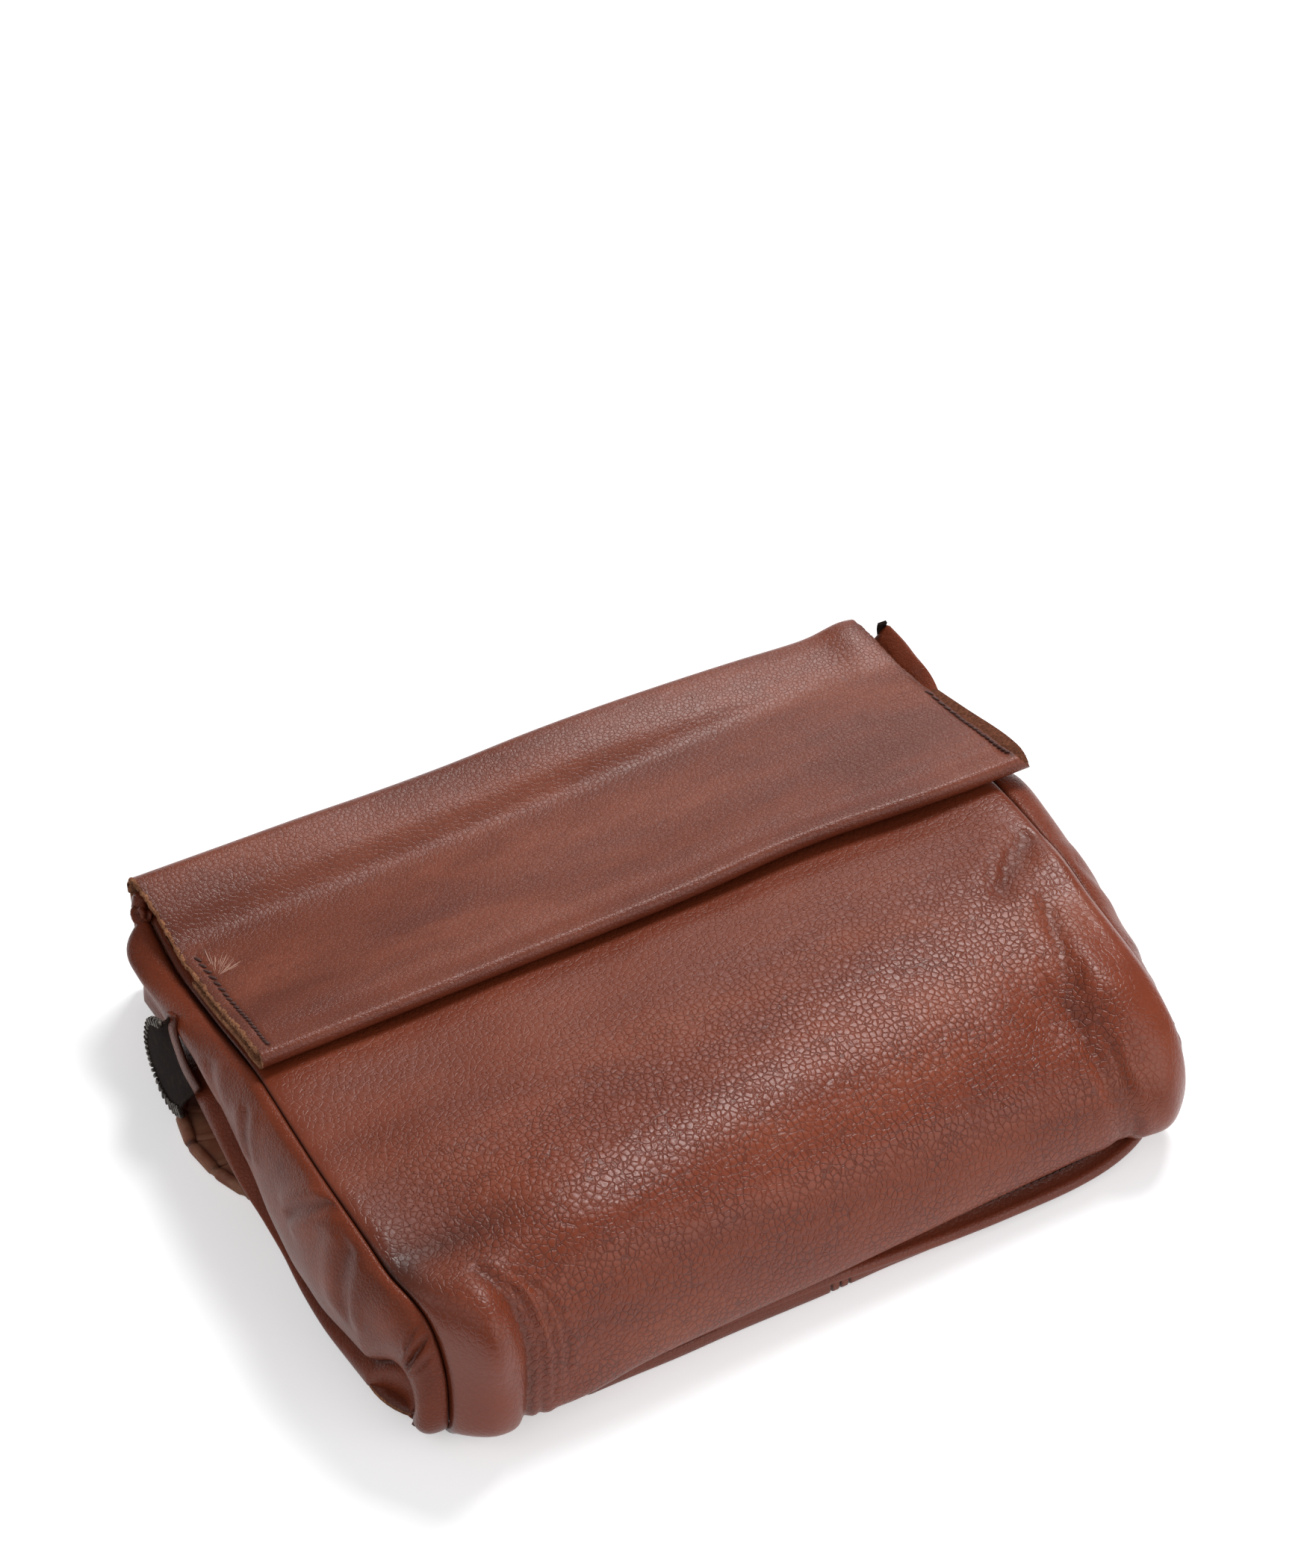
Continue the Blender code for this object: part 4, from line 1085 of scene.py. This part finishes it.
def addKnot(whole):  # the hem's end, bunched into a small crumpled ball
    knot = bmesh.new()
    layers = [knot.verts.layers.float.new(key) for key in paintLayers]
    bmesh.ops.create_icosphere(knot, subdivisions=4, radius=1)
    for vertex in knot.verts:
        ball = vertex.co.copy()
        lobes = 0.16 * math.sin(5 * math.atan2(ball.z, ball.x) + 3 * ball.y) + 0.22 * wander(*ball, 0.45, 5.5)
        # painted shade in the dents between the lobes
        vertex[layers[0]], vertex[layers[1]], vertex[layers[2]] = 0.0, clamp(-2.2 * lobes), 0.6
        vertex.co = (Vector(mouth["knot"]) + ball * mouth["knotRadius"] * (1 + lobes)) * mm
    addPart(whole, knot)


bm = closedTube(mouth["around"], mouth["along"], mouthAt, mouthPaint)
addKnot(bm)
bagPiece("mouthHem", bm, [gussetSkin], "mouth_hem")


# zip: woven tapes behind the toothed rows, which keep their own shape
def addZipTape(name, node):
    low, high = (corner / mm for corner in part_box(node))

    def place(u, v):
        x = mix(high.x, low.x, u)
        z = mix(low.z, high.z, v)
        return Vector((x, high.y + 0.12 * wander(x, 0, z, 12, 1.9), z))

    bm = gridSheet(150, 10, place, evenPaint(0.0, 0.0, 0.0))
    thicken(bagPiece(name, bm, [tape], node), high.y - low.y)


addZipTape("zipTapeFront", "zip_tape_front")
addZipTape("zipTapeBack", "zip_tape_back")
metalNodes = (
    "zip_teeth_front", "zip_teeth_back", "zip_bottom_stop", "zip_top_stop_front", "zip_top_stop_back",
    "zip_slider", "zip_pull",
)
for node in metalNodes:
    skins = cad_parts[node].data.materials
    skins.clear()
    skins.append(metal)

# the zip's curled tail on the left side
tail = {
    "rim": ((58, 44), (69, 35.5), (75, 22), (74, 12.5), (68.5, 7), (58, 6.5), (48, 12.5)),
    "teeth": 25, "toothLength": 2.9, "toothWide": 2.2, "toothDeep": 1.4, "toothSunk": 1.1, "dome": 1.2,
    "thickness": 1.2, "proud": 0.9,
    "facing": (
        (-153.6, 61, 44), (-154.6, 58.5, 39), (-155.2, 52.5, 35), (-155.4, 46.5, 31.5), (-154.6, 39, 27.5),
    ),
    "facingWide": 3.8, "facingThick": 1.3,
}
tailX = sum(corner.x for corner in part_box("zip_tail_left")) / 2 / mm
facingLine = [Vector(point) for point in tail["facing"]]
tailRim = [Vector((tailX - tail["proud"], *point)) for point in tail["rim"]]


def tailAt(u, v):  # from behind the facing out to the toothed rim
    inner = curveAt(facingLine, u) + Vector((0.6, 0, 0))
    rim = curveAt(tailRim, u)
    swell = tail["dome"] * math.sin(math.pi * v) + 0.3 * wander(u * 30, v * 10, 0, 6, 2.7)
    return inner.lerp(rim, v) - Vector((swell, 0, 0))


def facingAt(u, v):  # a narrow leather edge turned over beside the tape
    c, s = ring(u)
    ahead = heading(facingLine, v).normalized()
    aside = ahead.cross(Vector((-1, 0, 0))).normalized()
    out = ahead.cross(aside).normalized()
    point = curveAt(facingLine, v) + aside * tail["facingWide"] * c
    return point + out * tail["facingThick"] * s * (1 + 0.25 * c)


def facingPaint(u, v):
    return 0.2, 0.25 + 0.5 * bell(ring(u)[0] + 1, 0.5), 0.8


bm = gridSheet(60, 14, tailAt, evenPaint(0.0, 0.0, 0.0))
thicken(bagPiece("zipTailLeft", bm, [tape], "zip_tail_left"), tail["thickness"])
bagPiece("zipFacingLeft", closedTube(16, 40, facingAt, facingPaint), [gussetSkin], "zip_facing_left")
bm = bmesh.new()
for tooth in range(tail["teeth"]):
    share = (tooth + 0.5) / tail["teeth"]
    ahead = heading(tailRim, share)
    turn = math.atan2(ahead.z, ahead.y) + math.pi / 2
    long = tail["toothLength"] * (1 + 0.7 * ease(0.62, 0.74, share))  # the last teeth stand clear of the tape
    reach = long / 2 - tail["toothSunk"]
    out = Vector((-tail["proud"], math.cos(turn) * reach, math.sin(turn) * reach))
    place = Matrix.Translation((curveAt(tailRim, share) + out) * mm) @ Matrix.Rotation(turn, 4, "X")
    shape = Matrix.Diagonal((tail["toothWide"], long, tail["toothDeep"], 1))
    made = bmesh.ops.create_cube(bm, size=mm, matrix=place @ shape)
    edges = list({edge for vertex in made["verts"] for edge in vertex.link_edges})
    bmesh.ops.bevel(bm, geom=edges, offset=0.00045, affect="EDGES", segments=3, profile=0.5, material=-1)
bagPiece("zipTailTeeth", bm, [metal], "zip_tail_teeth")
low, high = (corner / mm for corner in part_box("zip_tail_right"))


def stubAt(u, v):  # only its curled tip stands clear of the gusset
    z = mix(low.z, high.z, v)
    return Vector((mix(low.x + 0.5, low.x - 3, u), high.y - 3 + 0.5 * math.sin(z * 0.6), z + 4.5))


bm = gridSheet(8, 24, stubAt, evenPaint(0.0, 0.0, 0.0))
thicken(bagPiece("zipTailRight", bm, [tape], "zip_tail_right"), tail["thickness"])
print("zip made")


# strap: a flat band between two rolled cords, laced across and tucked under the back panel
strap = {
    "route": ((0, 18), (-24, 8), (-34, -16), (-37, -44), (-50, -67), (-70, -75), (-91, -66), (-106, -42),
              (-124, -12), (-141, 14), (-149, 38), (-143, 62), (-126, 80), (-106, 90)),
    "cordOffset": 10.2, "cordRadius": 2.3, "bandHalf": 9.0, "bandThickness": 1.0, "middle": 2.4,
    "laces": 53, "laceRadius": 1.5, "laceHalf": 9.5, "laceTop": 2.55, "laceEnd": 2.25, "laceLean": 0.2,
    "bandZ": 1.6, "pinch": 0.3, "rings": 640, "around": 10,
}
halfRoute = [Vector(point) for point in strap["route"]]
route = [Vector((-p.x, p.y)) for p in reversed(halfRoute[1:])] + halfRoute


def strapFrame(v):
    ahead = heading(route, v, 0.003).normalized()
    return curveAt(route, v), Vector((-ahead.y, ahead.x))


def cordAt(u, v, sign):  # straight tubes from lace to lace
    place = v * strap["laces"]
    whole = math.floor(place)
    ends = [strapFrame(clamp((whole + k) / strap["laces"])) for k in (0, 1)]
    core = [middle + aside * sign * strap["cordOffset"] for middle, aside in ends]
    aside = strapFrame(v)[1]
    joint = abs(math.sin(math.pi * place))
    r = strap["cordRadius"] * (1 - strap["pinch"] * bell(joint, 0.25))
    r *= 1 + 0.05 * wander(v * 300, u * 4, sign, 3, 4.1)
    c, s = ring(u)
    flat = core[0].lerp(core[1], place - whole) + aside * sign * r * c
    return Vector((*flat, strap["middle"] + r * s))


def cordPaint(u, v):
    # painted shade where each lace pinches the cords
    joint = abs(math.sin(math.pi * v * strap["laces"]))
    return 0.8, clamp(0.85 * bell(joint, 0.2) + 0.1), 0.5


def bandAt(u, v):
    middle, aside = strapFrame(v)
    c, s = ring(u)
    flat = middle + aside * strap["bandHalf"] * c
    return Vector((*flat, strap["bandZ"] + strap["bandThickness"] * s + 0.2 * wander(*flat, 0, 5, 3.3)))


def laceAt(u, v, number):
    lean = mix(-strap["laceLean"], strap["laceLean"], v)
    middle, aside = strapFrame(clamp((number + lean) / strap["laces"]))
    c, s = ring(u)
    end = abs(2 * v - 1)
    r = math.sqrt(clamp(1 - end**6))
    ahead = Vector((-aside.y, aside.x))
    flat = middle + aside * mix(-strap["laceHalf"], strap["laceHalf"], v)
    flat += ahead * strap["laceRadius"] * r * 1.3 * c
    return Vector((*flat, mix(strap["laceTop"], strap["laceEnd"], end) + 0.95 * r * s))


def lacePaint(u, v):
    # painted shade at the lace ends, where they dip under the cords
    return 0.6, 0.7 * bell(abs(2 * v - 1) - 1, 0.2), 0.5


bm = bmesh.new()
for sign in (-1, 1):
    addPart(bm, closedTube(strap["around"], strap["rings"], lambda u, v: cordAt(u, v, sign), cordPaint))
addPart(bm, closedTube(12, 220, bandAt, evenPaint(0.7, 0.05, 0.5)))
for number in range(1, strap["laces"]):
    addPart(bm, closedTube(8, 12, lambda u, v: laceAt(u, v, number), lacePaint))
bagPiece("lacedStrap", bm, [braidSkin], "strap")
for name, node in (("strapTabLeft", "strap_tab_left"), ("strapTabRight", "strap_tab_right")):
    bm = bmesh.new()
    bm.from_mesh(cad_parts[node].data)
    bmesh.ops.remove_doubles(bm, verts=bm.verts, dist=0.00002)
    bmesh.ops.dissolve_limit(bm, angle_limit=0.02, verts=bm.verts, edges=bm.edges)
    bmesh.ops.bevel(bm, geom=bm.edges, offset=0.0009, affect="EDGES", segments=3, profile=0.5, material=-1)
    bagPiece(name, bm, [smoothSkin], node)
print("strap made")


# back panel: the flat skin that the bag lies on, over its strap
back = {
    "half": 150, "drawnIn": 6.0, "low": -111, "high": 119.2, "corner": 27, "top": 6.1, "thickness": 1.8,
    "columns": 90, "rows": 80,
}


def backAt(u, v):
    y = mix(back["low"], back["high"], v)
    into = clamp((back["low"] + back["corner"] - y) / back["corner"])
    half = back["half"] - back["corner"] * (1 - math.sqrt(1 - into**2))
    drawnIn = back["drawnIn"] * ease(-20, 30, y)  # at the left, where the strap comes out
    x = mix(drawnIn - half, half, u)
    return Vector((x, y, back["top"] + 0.15 * wander(x, y, 0, 30, 0.7)))


bm = gridSheet(back["columns"], back["rows"], backAt, evenPaint(0.2, 0.2, 0.8))
thicken(bagPiece("backPanel", bm, [smoothSkin, edgeSkin], "back_panel"), back["thickness"], 1)
print("back panel made")


# floor, light and camera
def makeFloor():
    material, shader, w, coords = newMaterial("studioWhite")
    path = w.add("LightPath")
    seen = w.math("MAXIMUM", path.outputs["Is Camera Ray"], path.outputs["Is Glossy Ray"])
    seen = w.math("MAXIMUM", seen, path.outputs["Is Transmission Ray"])
    away = w.add("VectorMath", {"operation": "LENGTH"})
    w.put(away.inputs[0], coords)
    glow = w.range(away.outputs["Value"], 0.5, 2.0, 0.42, 1.0, "SMOOTHSTEP")  # white where the lamps fall off
    dress(
        w, shader, Base_Color=(0.93, 0.93, 0.94), Roughness=0.9, Specular_IOR_Level=0.1,
        Emission_Color=(1, 1, 1), Emission_Strength=w.math("MULTIPLY", seen, glow),
    )
    bm = bmesh.new()
    bmesh.ops.create_grid(bm, x_segments=2, y_segments=2, size=6)
    floor = addMesh("studioFloor", bm, [material])
    floor.location.z = -0.0002


def makeWorld():
    world = bpy.data.worlds.new("studio")
    scene.world = world
    world.use_nodes = True
    background = world.node_tree.nodes["Background"]
    background.inputs["Color"].default_value = (0.96, 0.97, 1, 1)
    w = Wiring(world.node_tree)
    seen = w.add("LightPath").outputs["Is Camera Ray"]
    w.put(background.inputs["Strength"], w.math("MULTIPLY_ADD", seen, 0.75, 0.25))


softBoxes = {
    "keySoftBox": {"at": (0.73, 0.53, 1.44), "size": (0.6, 0.5), "power": 18},
    "sheenSoftBox": {"at": (0.66, 1.15, 0.7), "size": (0.6, 0.25), "power": 1.6},
    "sideSoftBox": {"at": (-1.2, -0.4, 1.3), "size": (1.4, 1.2), "power": 5},
    "frontSoftBox": {"at": (1.0, -1.6, 1.1), "size": (1.8, 1.4), "power": 15},
}


def aimed(name, data, place, ahead):
    thing = bpy.data.objects.new(name, data)
    thing.location = place
    thing.rotation_mode = "QUATERNION"
    thing.rotation_quaternion = Vector(ahead).to_track_quat("-Z", "Y")
    scene.collection.objects.link(thing)
    return thing


def makeLights():
    for name, box in softBoxes.items():
        data = bpy.data.lights.new(name, "AREA")
        data.shape = "RECTANGLE"
        data.size, data.size_y = box["size"]
        data.energy = box["power"]
        aimed(name, data, box["at"], -Vector(box["at"]))


view = {"place": (-0.40024, -0.74007, 0.88895), "ahead": (0.3523, 0.6543, -0.6691), "lens": 80, "sensor": 36}


def makeCamera():
    data = bpy.data.cameras.new("photoCamera")
    data.lens = view["lens"]
    data.sensor_width = view["sensor"]
    scene.camera = aimed("photoCamera", data, view["place"], view["ahead"])


makeFloor()
makeWorld()
makeLights()
makeCamera()
scene.view_settings.view_transform = "Standard"
print("stage made")
